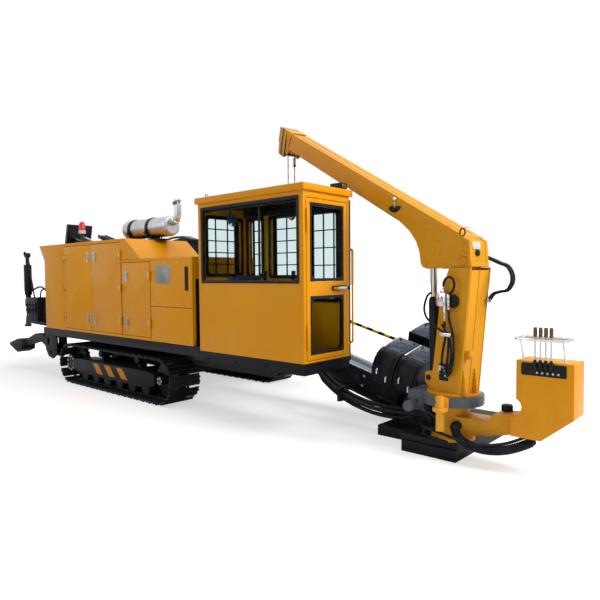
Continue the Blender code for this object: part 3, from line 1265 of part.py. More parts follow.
def hoses(boom):
    """The supply hoses along the boom's near side, in clamps, and the ribbed console hose."""
    y = -0.235
    route = [(3.06, y + 0.02, 0.50), (3.35, y - 0.01, 0.35), (3.62, y - 0.03, 0.28), (3.88, y - 0.06, 0.26),
             (4.12, y - 0.05, 0.27)]
    web = BOOM_Y - BOOM_HALF + 0.035 - GAP
    tubes = []
    for dy, dz in ((0.0, 0.0), (-0.05, -0.03), (0.03, -0.055), (-0.03, -0.085)):
        end = 4.41 + dz
        path = [(2.85 + dy, web, 0.59 + dz), (2.85 + dy, web - 0.06, 0.59 + dz)]
        path += [(px, py + dy, pz + dz) for px, py, pz in route]
        path += [(end - 0.03, y + dy, 0.235), (end, y + dy, 0.19)]
        path = [path[0], *smooth_path(path[1:], 2), (end, y + dy, 0.15 + GAP)]
        tubes.append(tube(path, 0.021, 1))
    clamps = [box((3.32, 3.36), (y - 0.10, y + 0.06), (0.235, 0.38))]
    part("supply_hoses", "rubber", boom, tubes[0], clamps + tubes[1:])
    side = -0.61 - GAP
    path = [(4.89, side - 0.088, 0.222), (4.99, side - 0.085, 0.175), (5.12, side - 0.07, 0.160),
            (5.28, side - 0.04, 0.188), (5.42, -0.575, 0.25)]
    path = [(4.835, side, 0.30), (4.835, side - 0.018, 0.30), (4.835, side - 0.056, 0.290), *smooth_path(path, 4)]
    path += [(5.43, -0.565, 0.283), (5.43, -0.565, 0.305 - GAP)]
    part("console_hose", "rubber", boom, tube(path, CONSOLE_HOSE))


def build():
    clear_scene()
    root = bpy.data.objects.new("root", None)
    PARTS.objects.link(root)
    root["place"] = (0.0, 0.0, 0.0)
    root.location = (-MID_X, 0.0, 0.0)
    for side in (-1, 1):
        track(side, root)
        track_frame(side, root)
        rear_leg(side, root)
    car_body(root)
    deck(root)
    rear_rack(root)
    outlet(root)
    engine(root)
    hood(root)
    hood_doors(root)
    muffler(root)
    beacon(root)
    cab_shell(root)
    cab_door(root)
    cab_glass(root)
    window_guards(root)
    cab_fittings(root)
    side_tanks(root)
    slope = boom_frame()
    boom = pivot("pivot_boom_tilt", (TILT_PIVOT[0], BOOM_Y, TILT_PIVOT[1]), root)
    drill_boom(boom, slope)
    drive_head(boom, slope)
    vises(boom, slope)
    guard_bar(boom, slope)
    tilt_cylinder(root, boom)
    anchor(boom, slope)
    pedestal(boom)
    console(boom)
    hoses(boom)
    place = crane_place()
    slew = crane_column(boom, place)
    crane_jib(slew, place)
    luff_cylinder(slew, place)


build()
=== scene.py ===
"""Materials, fine detail, camera and light for the horizontal directional drill.

Positions are first written as on the machine, X from the middle of the tracks, and at() shifts
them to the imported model's frame.
"""

import json
import math

import bmesh
import bpy
from mathutils import Matrix, Vector

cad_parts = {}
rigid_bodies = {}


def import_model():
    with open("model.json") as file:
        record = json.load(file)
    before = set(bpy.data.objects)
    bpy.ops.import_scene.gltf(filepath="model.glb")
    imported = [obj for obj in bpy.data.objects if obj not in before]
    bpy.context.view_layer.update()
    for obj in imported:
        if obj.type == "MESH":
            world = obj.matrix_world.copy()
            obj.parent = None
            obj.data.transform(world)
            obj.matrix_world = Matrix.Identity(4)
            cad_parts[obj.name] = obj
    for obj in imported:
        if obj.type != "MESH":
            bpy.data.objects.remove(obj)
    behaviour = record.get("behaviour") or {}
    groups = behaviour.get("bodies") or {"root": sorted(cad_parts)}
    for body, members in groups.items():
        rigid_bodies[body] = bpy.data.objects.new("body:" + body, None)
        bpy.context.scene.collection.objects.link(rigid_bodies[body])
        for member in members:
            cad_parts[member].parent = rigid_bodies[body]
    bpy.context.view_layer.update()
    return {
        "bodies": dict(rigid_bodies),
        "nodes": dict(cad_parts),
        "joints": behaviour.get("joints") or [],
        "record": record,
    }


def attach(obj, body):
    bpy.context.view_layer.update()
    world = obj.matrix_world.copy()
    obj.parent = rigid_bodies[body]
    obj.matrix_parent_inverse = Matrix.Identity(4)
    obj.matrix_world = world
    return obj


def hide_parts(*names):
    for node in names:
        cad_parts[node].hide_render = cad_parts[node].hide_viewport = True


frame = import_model()
NODES = frame["nodes"]

FRONT_X = 5.765             # the console's front face
REAR_X = -3.41 - 0.058      # the outlet pipe's end
MID_X = (FRONT_X + REAR_X) / 2
SIDE_Y = 1.147
WHEEL_BASE = 2.30
LOOP_INNER = 0.235
AXLE_Z = 0.30
SHOE_COUNT = 42
SHOE_HALF = 0.225
SLOPE = math.radians(15.03)
BOOM_Y = 0.125
DRILL_W = 0.33              # the drill's axis over the boom
CRANE_X, CRANE_Y = 4.73, -0.48
CRANE_TURN = math.radians(12.48)
JIB_SLOPE = math.radians(28.77)
JIB_TOP = 2.014
JIB_HALF = 0.122
HEEL_PIN = (-0.19, 1.70)
LUFF_FOOT = (0.195, 0.0, 0.665)
LUFF_EYE = (0.225, 0.0, 1.69)
LUFF_BORE = 0.0308
CONSOLE_HOSE = 0.040
CONSOLE_Y = -0.65
SEAT_Y = -0.79
FAN_BLADES = 5
RACK_PITCH, RACK_TEETH = 0.046, 149
CHAIN_PITCH, CHAIN_LINKS = 0.058, 56
LATCH_HALF = 0.068


def at(x, y, z):
    """A point of the machine in the model's frame."""
    return Vector((x - MID_X, y, z))


def on_boom(u, y, w):
    """A point of the drilling boom's own frame."""
    return at(3.265 + u * math.cos(SLOPE) + w * math.sin(SLOPE), y,
              0.608 - u * math.sin(SLOPE) + w * math.cos(SLOPE))


def on_crane(a, b, z):
    """A point of the crane's own frame: a towards the jib's tip, b to its right."""
    c, s = math.cos(CRANE_TURN), math.sin(CRANE_TURN)
    return at(CRANE_X - c * a + s * b, CRANE_Y + s * a + c * b, z)


def jib_at(a, drop):
    """Height of the line that runs drop below the jib's top face."""
    return JIB_TOP + math.tan(JIB_SLOPE) * a - drop / math.cos(JIB_SLOPE)


ON_MACHINE = Matrix.Translation(at(0, 0, 0))
CRANE_PLACE = Matrix.Translation(at(CRANE_X, CRANE_Y, 0)) @ Matrix.Rotation(math.pi - CRANE_TURN, 4, "Z")
COLUMN_FACE = CRANE_PLACE @ Matrix.Translation((0.0, 0.137, 0.0))


# Materials


class Look:
    """A node material whose patterns lie in the row frame."""

    def __init__(self, name, rough=0.4, metal=0.0, coat=0.0):
        self.mat = bpy.data.materials.new(name)
        self.mat.use_nodes = True
        self.tree = self.mat.node_tree
        self.bsdf = self.tree.nodes["Principled BSDF"]
        self.bsdf.inputs["Roughness"].default_value = rough
        self.bsdf.inputs["Metallic"].default_value = metal
        self.bsdf.inputs["Coat Weight"].default_value = coat
        self.bsdf.inputs["Coat Roughness"].default_value = 0.12
        self.bsdf.inputs["Specular IOR Level"].default_value = 0.16
        self.place = self.tree.nodes.new("ShaderNodeTexCoord").outputs["Object"]

    def link(self, source, target):
        self.tree.links.new(source, target)
        return target

    def noise(self, scale, detail=4.0, stretch=None):
        place = self.place
        if stretch:
            mapping = self.tree.nodes.new("ShaderNodeMapping")
            mapping.inputs["Scale"].default_value = stretch
            self.link(place, mapping.inputs["Vector"])
            place = mapping.outputs["Vector"]
        node = self.tree.nodes.new("ShaderNodeTexNoise")
        node.inputs["Scale"].default_value = scale
        node.inputs["Detail"].default_value = detail
        self.link(place, node.inputs["Vector"])
        return node.outputs["Fac"]

    def span(self, value, low, high, start=0.0, end=1.0):
        node = self.tree.nodes.new("ShaderNodeMapRange")
        for name, number in (("From Min", low), ("From Max", high), ("To Min", start), ("To Max", end)):
            node.inputs[name].default_value = number
        self.link(value, node.inputs["Value"])
        return node.outputs["Result"]

    def math(self, kind, a, b=0.0):
        node = self.tree.nodes.new("ShaderNodeMath")
        node.operation = kind
        for socket, value in zip(node.inputs, (a, b)):
            if isinstance(value, (int, float)):
                socket.default_value = value
            else:
                self.link(value, socket)
        return node.outputs[0]

    def along(self, direction):
        """How far the point lies along a direction."""
        node = self.tree.nodes.new("ShaderNodeVectorMath")
        node.operation = "DOT_PRODUCT"
        node.inputs[1].default_value = direction
        self.link(self.place, node.inputs[0])
        return node.outputs["Value"]

    def mix(self, share, a, b):
        node = self.tree.nodes.new("ShaderNodeMix")
        node.data_type = "RGBA"
        for socket, value in ((node.inputs[0], share), (node.inputs[6], a), (node.inputs[7], b)):
            if isinstance(value, tuple):
                socket.default_value = (*value, 1.0)
            elif isinstance(value, float):
                socket.default_value = value
            else:
                self.link(value, socket)
        return node.outputs[2]

    def colour(self, value):
        if isinstance(value, tuple):
            self.bsdf.inputs["Base Color"].default_value = (*value, 1.0)
        else:
            self.link(value, self.bsdf.inputs["Base Color"])

    def rough(self, value):
        self.link(value, self.bsdf.inputs["Roughness"])

    def bump(self, height, strength, distance=0.001):
        node = self.tree.nodes.new("ShaderNodeBump")
        node.inputs["Strength"].default_value = strength
        node.inputs["Distance"].default_value = distance
        self.link(height, node.inputs["Height"])
        self.link(node.outputs["Normal"], self.bsdf.inputs["Normal"])


def dull(colour, share):
    return tuple(c * share for c in colour)


def paint(name, colour, rough=0.32, coat=0.35, dust=0.10, grime=(0.09, 0.07, 0.05)):
    """Sprayed paint: cloudy tone, orange peel, and dust that gathers low down."""
    look = Look(name, rough, 0.0, coat)
    tone = look.mix(look.span(look.noise(1.1, 3.0), 0.3, 0.7), dull(colour, 0.93), colour)
    fine = look.span(look.noise(38.0, 6.0), 0.45, 0.75, 0.0, 0.35)
    tone = look.mix(fine, tone, dull(colour, 0.88))
    low = look.span(look.along((0.0, 0.0, 1.0)), 0.15, 1.3, dust, 0.0)
    spots = look.math("MULTIPLY", low, look.span(look.noise(9.0, 8.0), 0.35, 0.7))
    look.colour(look.mix(spots, tone, grime))
    look.rough(look.span(look.noise(22.0, 5.0), 0.3, 0.8, rough - 0.05, rough + 0.13))
    look.bump(look.noise(420.0, 2.0), 0.06, 0.0004)
    return look


def metal(name, colour, rough=0.28, stretch=(1.0, 1.0, 12.0), full=1.0):
    """Bare metal with fine drawn lines and slight tarnish."""
    look = Look(name, rough, full)
    look.colour(look.mix(look.span(look.noise(6.0, 6.0), 0.35, 0.75), colour, dull(colour, 0.70)))
    look.rough(look.span(look.noise(60.0, 4.0, stretch), 0.3, 0.7, rough - 0.06, rough + 0.14))
    look.bump(look.noise(160.0, 3.0, stretch), 0.08, 0.0004)
    return look


def rubber(name, colour=(0.007, 0.009, 0.012), rough=0.55):
    """Dull rubber with a dusty tone."""
    look = Look(name, rough)
    look.colour(look.mix(look.span(look.noise(14.0, 7.0), 0.45, 0.85), colour, (0.028, 0.029, 0.031)))
    look.rough(look.span(look.noise(30.0, 5.0), 0.3, 0.8, rough - 0.1, rough + 0.2))
    look.bump(look.noise(240.0, 4.0), 0.25, 0.0006)
    return look


def striped(name, direction, period, first, second, rough=0.4, share=0.5, shift=0.0):
    """Slanted bars of two colours."""
    look = Look(name, rough, 0.0, 0.2)
    length = Vector(direction).length
    phase = look.math("FRACT", look.math(
        "ADD", look.math("DIVIDE", look.along(direction), period * length), shift))
    bars = look.math("GREATER_THAN", phase, share)
    worn = look.span(look.noise(55.0, 6.0), 0.60, 0.75, 0.0, 0.5)
    look.colour(look.mix(worn, look.mix(bars, first, second), dull(first, 0.6)))
    look.rough(look.span(look.noise(30.0), 0.3, 0.8, rough - 0.05, rough + 0.15))
    look.bump(look.noise(300.0, 2.0), 0.06, 0.0004)
    return look


def zoned(name, rough, mask, low, high):
    """Two colours split by a mask built from the place."""
    look = Look(name, rough, 0.0, 0.2)
    share = mask(look)
    worn = look.span(look.noise(18.0, 6.0), 0.4, 0.8, 0.0, 0.3)
    look.colour(look.mix(worn, look.mix(share, low, high),
                         look.mix(share, dull(low, 0.75), dull(high, 0.8))))
    look.rough(look.span(look.noise(26.0, 5.0), 0.3, 0.8, rough - 0.06, rough + 0.14))
    look.bump(look.noise(320.0, 3.0), 0.08, 0.0004)
    return look


YELLOW = (0.80, 0.325, 0.003)
OCHRE = (0.72, 0.32, 0.010)
BLACK = (0.006, 0.0075, 0.011)
GREY_BLUE = (0.060, 0.085, 0.105)

LOOKS = {}


def make_looks():
    """Every material, by the name that the pieces use."""
    LOOKS["yellow"] = paint("hood_paint", YELLOW, 0.36, 0.04)
    LOOKS["crane_yellow"] = paint("crane_paint", OCHRE, 0.40, 0.03)
    LOOKS["black"] = paint("frame_paint", BLACK, 0.42, 0.03, 0.12, (0.022, 0.021, 0.020))
    LOOKS["gloss_black"] = paint("clamp_paint", (0.004, 0.006, 0.010), 0.30, 0.0, 0.04,
                                 (0.014, 0.014, 0.014))
    LOOKS["clamp_top"] = paint("clamp_top_paint", (0.010, 0.028, 0.060), 0.24, 0.3, 0.0)
    LOOKS["dark_grey"] = paint("housing_paint", GREY_BLUE, 0.38, 0.25)
    LOOKS["steel"] = metal("bare_steel", (0.56, 0.57, 0.59))
    LOOKS["bright"] = metal("bright_chrome", (0.72, 0.73, 0.75), 0.12)
    LOOKS["shoe"] = metal("track_steel", (0.030, 0.033, 0.040), 0.48, (1.0, 3.0, 1.0), 0.6)
    LOOKS["rubber"] = rubber("hose_rubber")
    LOOKS["gasket"] = rubber("window_gasket", (0.010, 0.011, 0.013), 0.42)
    LOOKS["rope"] = metal("wire_rope", (0.30, 0.33, 0.36), 0.35, (40.0, 40.0, 40.0))
    LOOKS["orange"] = paint("amber_bar", (0.62, 0.24, 0.010), 0.4, 0.05)
    LOOKS["plate_grey"] = metal("bare_plate", (0.30, 0.30, 0.29), 0.42, (8.0, 1.0, 1.0), 0.5)
    LOOKS["grip"] = metal("worn_brass", (0.16, 0.11, 0.04), 0.40, (1.0, 1.0, 6.0), 0.4)
    LOOKS["plate_white"] = paint("bare_label_plate", (0.62, 0.61, 0.58), 0.4, 0.1)
    LOOKS["fan"] = paint("fan_blue", (0.03, 0.12, 0.20), 0.4, 0.2)
    cloth = Look("seat_cloth", 0.85)
    weave = cloth.noise(900.0, 2.0, (1.0, 0.3, 1.0))
    cloth.colour(cloth.mix(cloth.span(weave, 0.3, 0.7), (0.018, 0.024, 0.036), (0.05, 0.06, 0.08)))
    cloth.bump(weave, 0.5, 0.001)
    LOOKS["seat"] = cloth
    glass = Look("cab_glass", 0.03)
    glass.bsdf.inputs["Transmission Weight"].default_value = 1.0
    glass.bsdf.inputs["IOR"].default_value = 1.02
    glass.colour(glass.mix(glass.span(glass.noise(2.0), 0.3, 0.7), (0.78, 0.87, 0.88), (0.84, 0.91, 0.92)))
    glass.rough(glass.span(glass.noise(7.0), 0.3, 0.7, 0.0, 0.03))
    LOOKS["glass"] = glass
    LOOKS["guard_stripes"] = striped("guard_stripes", (1.0, 0.0, -0.6), 0.16, (0.85, 0.45, 0.01), BLACK)
    LOOKS["hook_stripes"] = striped("hook_stripes", (-0.6, 0.0, 1.0), 0.105, OCHRE, BLACK, 0.4, 0.5, 0.25)
    LOOKS["boom"] = zoned("boom_paint", 0.34, boom_top, (0.010, 0.011, 0.014), (0.20, 0.29, 0.38))
    LOOKS["slew"] = zoned("slew_paint", 0.38, pinion_zone, (0.085, 0.105, 0.125), (0.80, 0.38, 0.02))
    LOOKS["beacon"] = beacon_look()
    LOOKS["console"] = console_look()
    LOOKS["jib_head"] = zoned("jib_head_paint", 0.36, head_bars, OCHRE, BLACK)


BLUE_FROM = -1.5


def boom_top(look):
    """One on the front part of the boom's top face, where the running face is paler."""
    normal = Vector((math.sin(SLOPE), 0.0, math.cos(SLOPE)))
    level = normal.dot(on_boom(0, 0, -0.004))
    top = look.math("GREATER_THAN", look.along(tuple(normal)), level)
    down = Vector((math.cos(SLOPE), 0.0, -math.sin(SLOPE)))
    front = look.math("GREATER_THAN", look.along(tuple(down)), down.dot(on_boom(BLUE_FROM, 0, 0)))
    return look.math("MULTIPLY", top, front)


def console_look():
    """Yellow paint, with the levers above the console's top left bright."""
    look = paint("console_paint", YELLOW, 0.36, 0.04)
    tone = look.bsdf.inputs["Base Color"].links[0].from_socket
    lever = look.math("GREATER_THAN", look.along((0.0, 0.0, 1.0)), 0.9175)
    look.colour(look.mix(
        lever, tone, look.mix(look.noise(30.0, 3.0), (0.50, 0.51, 0.53), (0.66, 0.67, 0.69))))
    look.tree.links.new(lever, look.bsdf.inputs["Metallic"])
    return look


def pinion_zone(look):
    """One round the upright pinion tube beside the slew ring."""
    centre = at(4.757, -0.776, 0)
    x = look.math("SUBTRACT", look.along((1.0, 0.0, 0.0)), centre.x)
    y = look.math("SUBTRACT", look.along((0.0, 1.0, 0.0)), centre.y)
    square = look.math("ADD", look.math("MULTIPLY", x, x), look.math("MULTIPLY", y, y))
    return look.math("LESS_THAN", square, 0.072 ** 2)


def head_bars(look):
    """Two dark bars across the jib's head."""
    heading = Vector((-math.cos(CRANE_TURN), math.sin(CRANE_TURN), 0.0))
    start = heading.dot(on_crane(2.36, 0, 0))
    reach = look.math("SUBTRACT", look.along(tuple(heading)), start)
    tilt = look.math("ADD", reach, look.math("MULTIPLY", look.along((0.0, 0.0, 1.0)), 0.25))
    phase = look.math("FRACT", look.math("DIVIDE", tilt, 0.085))
    beyond = look.math("GREATER_THAN", reach, 0.02)
    return look.math("MULTIPLY", look.math("GREATER_THAN", phase, 0.62), beyond)


def beacon_look():
    """Red ribbed dome over a white collar and a black post."""
    look = Look("beacon_lamp", 0.18, 0.0, 0.5)
    height = look.along((0.0, 0.0, 1.0))
    dome = look.math("GREATER_THAN", height, 2.313)
    collar = look.math("GREATER_THAN", height, 2.261)
    look.colour(look.mix(dome, look.mix(collar, BLACK, (0.72, 0.66, 0.58)), (0.78, 0.012, 0.02)))
    rib = look.math("SINE", look.math("MULTIPLY", height, 700.0))
    look.bump(rib, 0.5, 0.0015)
    look.rough(look.span(look.noise(30.0), 0.3, 0.8, 0.12, 0.26))
    return look


# Shapes


ORDER = {
    "X": lambda a, b, c: (c, a, b),
    "Y": lambda a, b, c: (a, c, b),
    "Z": lambda a, b, c: (a, b, c),
}


def circle(count, shift=0.0):
    """Cosine and sine of evenly spaced angles."""
    angles = [2 * math.pi * (i + shift) / count for i in range(count)]
    return [(math.cos(a), math.sin(a)) for a in angles]


def disc(radius, count):
    """A round outline."""
    return [(radius * c, radius * s) for c, s in circle(count)]


class Solid:
    """Collects simple solids in one mesh, in the frame of its place."""

    def __init__(self, place=None):
        self.bm = bmesh.new()
        self.place = place or Matrix.Identity(4)

    def _place(self, made, place):
        bmesh.ops.transform(self.bm, matrix=place, verts=made)

    def box(self, x, y, z):
        made = bmesh.ops.create_cube(self.bm, size=1.0)["verts"]
        size = Matrix.Diagonal((x[1] - x[0], y[1] - y[0], z[1] - z[0], 1.0))
        middle = Matrix.Translation(((x[0] + x[1]) / 2, (y[0] + y[1]) / 2, (z[0] + z[1]) / 2))
        self._place(made, self.place @ middle @ size)

    def boxes(self, rows):
        for row in rows:
            self.box(*row)

    def rod(self, start, end, radius, sides=16, end_radius=None):
        start, end = Vector(start), Vector(end)
        axis = end - start
        made = bmesh.ops.create_cone(
            self.bm, cap_ends=True, segments=sides, radius1=radius,
            radius2=radius if end_radius is None else end_radius, depth=axis.length)["verts"]
        turn = Vector((0, 0, 1)).rotation_difference(axis).to_matrix().to_4x4()
        self._place(made, self.place @ Matrix.Translation(start + axis / 2) @ turn)

    def rods(self, rows):
        for row in rows:
            self.rod(*row)

    def hoses(self, routes, radius, per_span):
        """Round hoses, each on a smooth curve through its points."""
        for route in routes:
            self.sweep(spline(route, per_span), radius, 10)

    def sweep(self, points, radius, sides=10, closed=False):
        """A round tube; radius is one number or one for each point."""
        points = [self.place @ Vector(p) for p in points]
        count = len(points)
        radii = radius if isinstance(radius, (list, tuple)) else [radius] * count
        rings = []
        side = None
        for i, point in enumerate(points):
            before = points[i - 1] if i or closed else point
            after = points[(i + 1) % count] if i < count - 1 or closed else point
            along = (after - before).normalized()
            if side is None:
                side = along.orthogonal().normalized()
            side = (side - along * side.dot(along)).normalized()
            up = along.cross(side)
            ring = []
            for k in range(sides):
                angle = 2 * math.pi * k / sides
                out = side * math.cos(angle) + up * math.sin(angle)
                ring.append(self.bm.verts.new(point + out * radii[i]))
            rings.append(ring)
        pairs = list(zip(rings, rings[1:]))
        if closed:
            pairs.append((rings[-1], rings[0]))
        for a, b in pairs:
            for k in range(sides):
                self.bm.faces.new((a[k], a[(k + 1) % sides], b[(k + 1) % sides], b[k]))
        if not closed:
            self.bm.faces.new(list(reversed(rings[0])))
            self.bm.faces.new(rings[-1])

    def prism(self, outline, low, high, axis="Y", place=None):
        """An outline of two coordinates, carried along the third axis."""
        order = ORDER[axis]
        ends = [[self.bm.verts.new(order(a, b, c)) for a, b in outline] for c in (low, high)]
        count = len(outline)
        made = [self.bm.faces.new(ends[0]), self.bm.faces.new(list(reversed(ends[1])))]
        for i in range(count):
            j = (i + 1) % count
            made.append(self.bm.faces.new((ends[0][i], ends[1][i], ends[1][j], ends[0][j])))
        bmesh.ops.recalc_face_normals(self.bm, faces=made)
        self._place(ends[0] + ends[1], place or self.place)

    def ring(self, outer, inner, low, high, axis="Y", place=None):
        """A flat frame between two outlines of as many corners."""
        order = ORDER[axis]
        loops = [[self.bm.verts.new(order(a, b, c)) for a, b in line]
                 for line, c in ((outer, low), (inner, low), (inner, high), (outer, high))]
        count = len(outer)
        made = []
        for a, b in zip(loops, loops[1:] + loops[:1]):
            for i in range(count):
                j = (i + 1) % count
                made.append(self.bm.faces.new((a[i], a[j], b[j], b[i])))
        bmesh.ops.recalc_face_normals(self.bm, faces=made)
        self._place([v for loop in loops for v in loop], place or self.place)

    def object(self, name):
        mesh = bpy.data.meshes.new(name)
        self.bm.to_mesh(mesh)
        self.bm.free()
        obj = bpy.data.objects.new(name, mesh)
        bpy.context.scene.collection.objects.link(obj)
        return obj


def smooth_group():
    """A node group that rounds the shading of every edge flatter than a limit."""
    found = bpy.data.node_groups.get("smooth_shading")
    if found:
        return found
    group = bpy.data.node_groups.new("smooth_shading", "GeometryNodeTree")
    group.interface.new_socket("Geometry", in_out="INPUT", socket_type="NodeSocketGeometry")
    limit = group.interface.new_socket("Angle limit", in_out="INPUT", socket_type="NodeSocketFloat")
    limit.default_value = math.radians(34)
    group.interface.new_socket("Geometry", in_out="OUTPUT", socket_type="NodeSocketGeometry")
    new = group.nodes.new
    begin, end = new("NodeGroupInput"), new("NodeGroupOutput")
    faces, edges = new("GeometryNodeSetShadeSmooth"), new("GeometryNodeSetShadeSmooth")
    edges.domain = "EDGE"
    angle, compare = new("GeometryNodeInputMeshEdgeAngle"), new("FunctionNodeCompare")
    compare.data_type = "FLOAT"
    compare.operation = "LESS_THAN"
    link = group.links.new
    link(begin.outputs["Geometry"], faces.inputs["Geometry"])
    link(faces.outputs["Geometry"], edges.inputs["Geometry"])
    link(angle.outputs["Unsigned Angle"], compare.inputs[0])
    link(begin.outputs["Angle limit"], compare.inputs[1])
    link(compare.outputs["Result"], edges.inputs["Shade Smooth"])
    link(edges.outputs["Geometry"], end.inputs["Geometry"])
    return group


def soften(obj, width):
    """Weld, rounded edges and smooth shading, as modifiers."""
    weld = obj.modifiers.new("weld", "WELD")
    weld.merge_threshold = 0.00005
    if width:
        bevel = obj.modifiers.new("edges", "BEVEL")
        bevel.width = width
        bevel.segments = 2
        bevel.limit_method = "ANGLE"
        bevel.angle_limit = math.radians(38)
        bevel.use_clamp_overlap = True
        bevel.miter_outer = "MITER_ARC"
    shade = obj.modifiers.new("shading", "NODES")
    shade.node_group = smooth_group()


def give(obj, look):
    """Put one look on an object."""
    obj.data.materials.clear()
    obj.data.materials.append(LOOKS[look].mat)


def piece(solid, name, look, body, width=0.0, replaces=()):
    """Finish a new piece: material, edges, body and material slot."""
    obj = solid.object(name)
    give(obj, look)
    soften(obj, width)
    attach(obj, body)
    if replaces:
        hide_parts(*replaces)
    return obj


def scatter_group():
    """A node group that sets an object on every point, turned by the point's own angles."""
    found = bpy.data.node_groups.get("set_on_points")
    if found:
        return found
    group = bpy.data.node_groups.new("set_on_points", "GeometryNodeTree")
    group.interface.new_socket("Geometry", in_out="INPUT", socket_type="NodeSocketGeometry")
    group.interface.new_socket("Piece", in_out="INPUT", socket_type="NodeSocketObject")
    size = group.interface.new_socket("Size", in_out="INPUT", socket_type="NodeSocketFloat")
    size.default_value = 1.0
    group.interface.new_socket("Geometry", in_out="OUTPUT", socket_type="NodeSocketGeometry")
    new = group.nodes.new
    begin, end = new("NodeGroupInput"), new("NodeGroupOutput")
    info, named = new("GeometryNodeObjectInfo"), new("GeometryNodeInputNamedAttribute")
    named.data_type = "FLOAT_VECTOR"
    named.inputs["Name"].default_value = "turn"
    points, place = new("GeometryNodeMeshToPoints"), new("GeometryNodeInstanceOnPoints")
    turn, real = new("FunctionNodeEulerToRotation"), new("GeometryNodeRealizeInstances")
    link = group.links.new
    link(begin.outputs["Geometry"], points.inputs["Mesh"])
    link(points.outputs["Points"], place.inputs["Points"])
    link(begin.outputs["Piece"], info.inputs["Object"])
    link(info.outputs["Geometry"], place.inputs["Instance"])
    link(named.outputs["Attribute"], turn.inputs["Euler"])
    link(turn.outputs["Rotation"], place.inputs["Rotation"])
    link(begin.outputs["Size"], place.inputs["Scale"])
    link(place.outputs["Instances"], real.inputs["Geometry"])
    link(real.outputs["Geometry"], end.inputs["Geometry"])
    return group


def scatter(name, spots, source, size, look, body, replaces=()):
    """Copies of a source solid at (place, rotation matrix) spots, made one plain mesh."""
    mesh = bpy.data.meshes.new(name + "_points")
    mesh.from_pydata([tuple(place) for place, turn in spots], [], [])
    turns = mesh.attributes.new("turn", "FLOAT_VECTOR", "POINT")
    turns.data.foreach_set("vector", [c for place, turn in spots for c in turn.to_euler("XYZ")])
    host = bpy.data.objects.new(name + "_host", mesh)
    bpy.context.scene.collection.objects.link(host)
    shape = source.object(name + "_source")
    soften(shape, 0.0)
    group = scatter_group()
    step = host.modifiers.new("set", "NODES")
    step.node_group = group
    keys = {item.name: item.identifier for item in group.interface.items_tree if item.in_out == "INPUT"}
    step[keys["Piece"]] = shape
    step[keys["Size"]] = size
    bpy.context.view_layer.update()
    seen = host.evaluated_get(bpy.context.evaluated_depsgraph_get())
    made = bpy.data.objects.new(name, bpy.data.meshes.new_from_object(seen))
    bpy.context.scene.collection.objects.link(made)
    for spare in (host, shape):
        bpy.data.objects.remove(spare, do_unlink=True)
    made.data.name = name
    give(made, look)
    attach(made, body)
    if replaces:
        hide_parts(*replaces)
    return made


def facing(normal):
    """A rotation whose Z is the normal."""
    z = Vector(normal).normalized()
    x = Vector((0, 0, 1)).cross(z)
    if x.length < 1e-4:
        x = Vector((1, 0, 0))
    x.normalize()
    return Matrix((x, z.cross(x), z)).transposed()


def hex_bolt():
    """A bolt's head on its washer, one unit in radius."""
    solid = Solid()
    solid.rod((0, 0, -0.05), (0, 0, 0.16), 1.35, 18)
    solid.rod((0, 0, 0.14), (0, 0, 0.72), 1.0, 6)
    solid.rod((0, 0, 0.70), (0, 0, 0.84), 0.98, 6, 0.78)
    return solid


def dome_screw():
    """A low domed screw head, one unit in radius."""
    solid = Solid()
    solid.rod((0, 0, -0.05), (0, 0, 0.14), 1.0, 14)
    solid.rod((0, 0, 0.14), (0, 0, 0.34), 1.0, 14, 0.6)
    return solid


def rounded(x, z, radius, steps=4):
    """A rectangle's outline with round corners."""
    found = []
    corners = ((x[1] - radius, z[1] - radius, 0), (x[0] + radius, z[1] - radius, 90),
               (x[0] + radius, z[0] + radius, 180), (x[1] - radius, z[0] + radius, 270))
    for a, b, start in corners:
        for i in range(steps + 1):
            angle = math.radians(start + 90 * i / steps)
            found.append((a + radius * math.cos(angle), b + radius * math.sin(angle)))
    return found


def spline(points, per_span=6):
    """Points along a smooth curve through the given ones."""
    ends = [points[0], *points, points[-1]]
    path = []
    for i in range(1, len(ends) - 2):
        p0, p1, p2, p3 = (Vector(p) for p in ends[i - 1:i + 3])
        for step in range(per_span):
            t = step / per_span
            path.append(0.5 * (2 * p1 + (p2 - p0) * t + (2 * p0 - 5 * p1 + 4 * p2 - p3) * t * t
                               + (3 * p1 - p0 - 3 * p2 + p3) * t ** 3))
    path.append(Vector(points[-1]))
    return path


# Finishing the CAD pieces

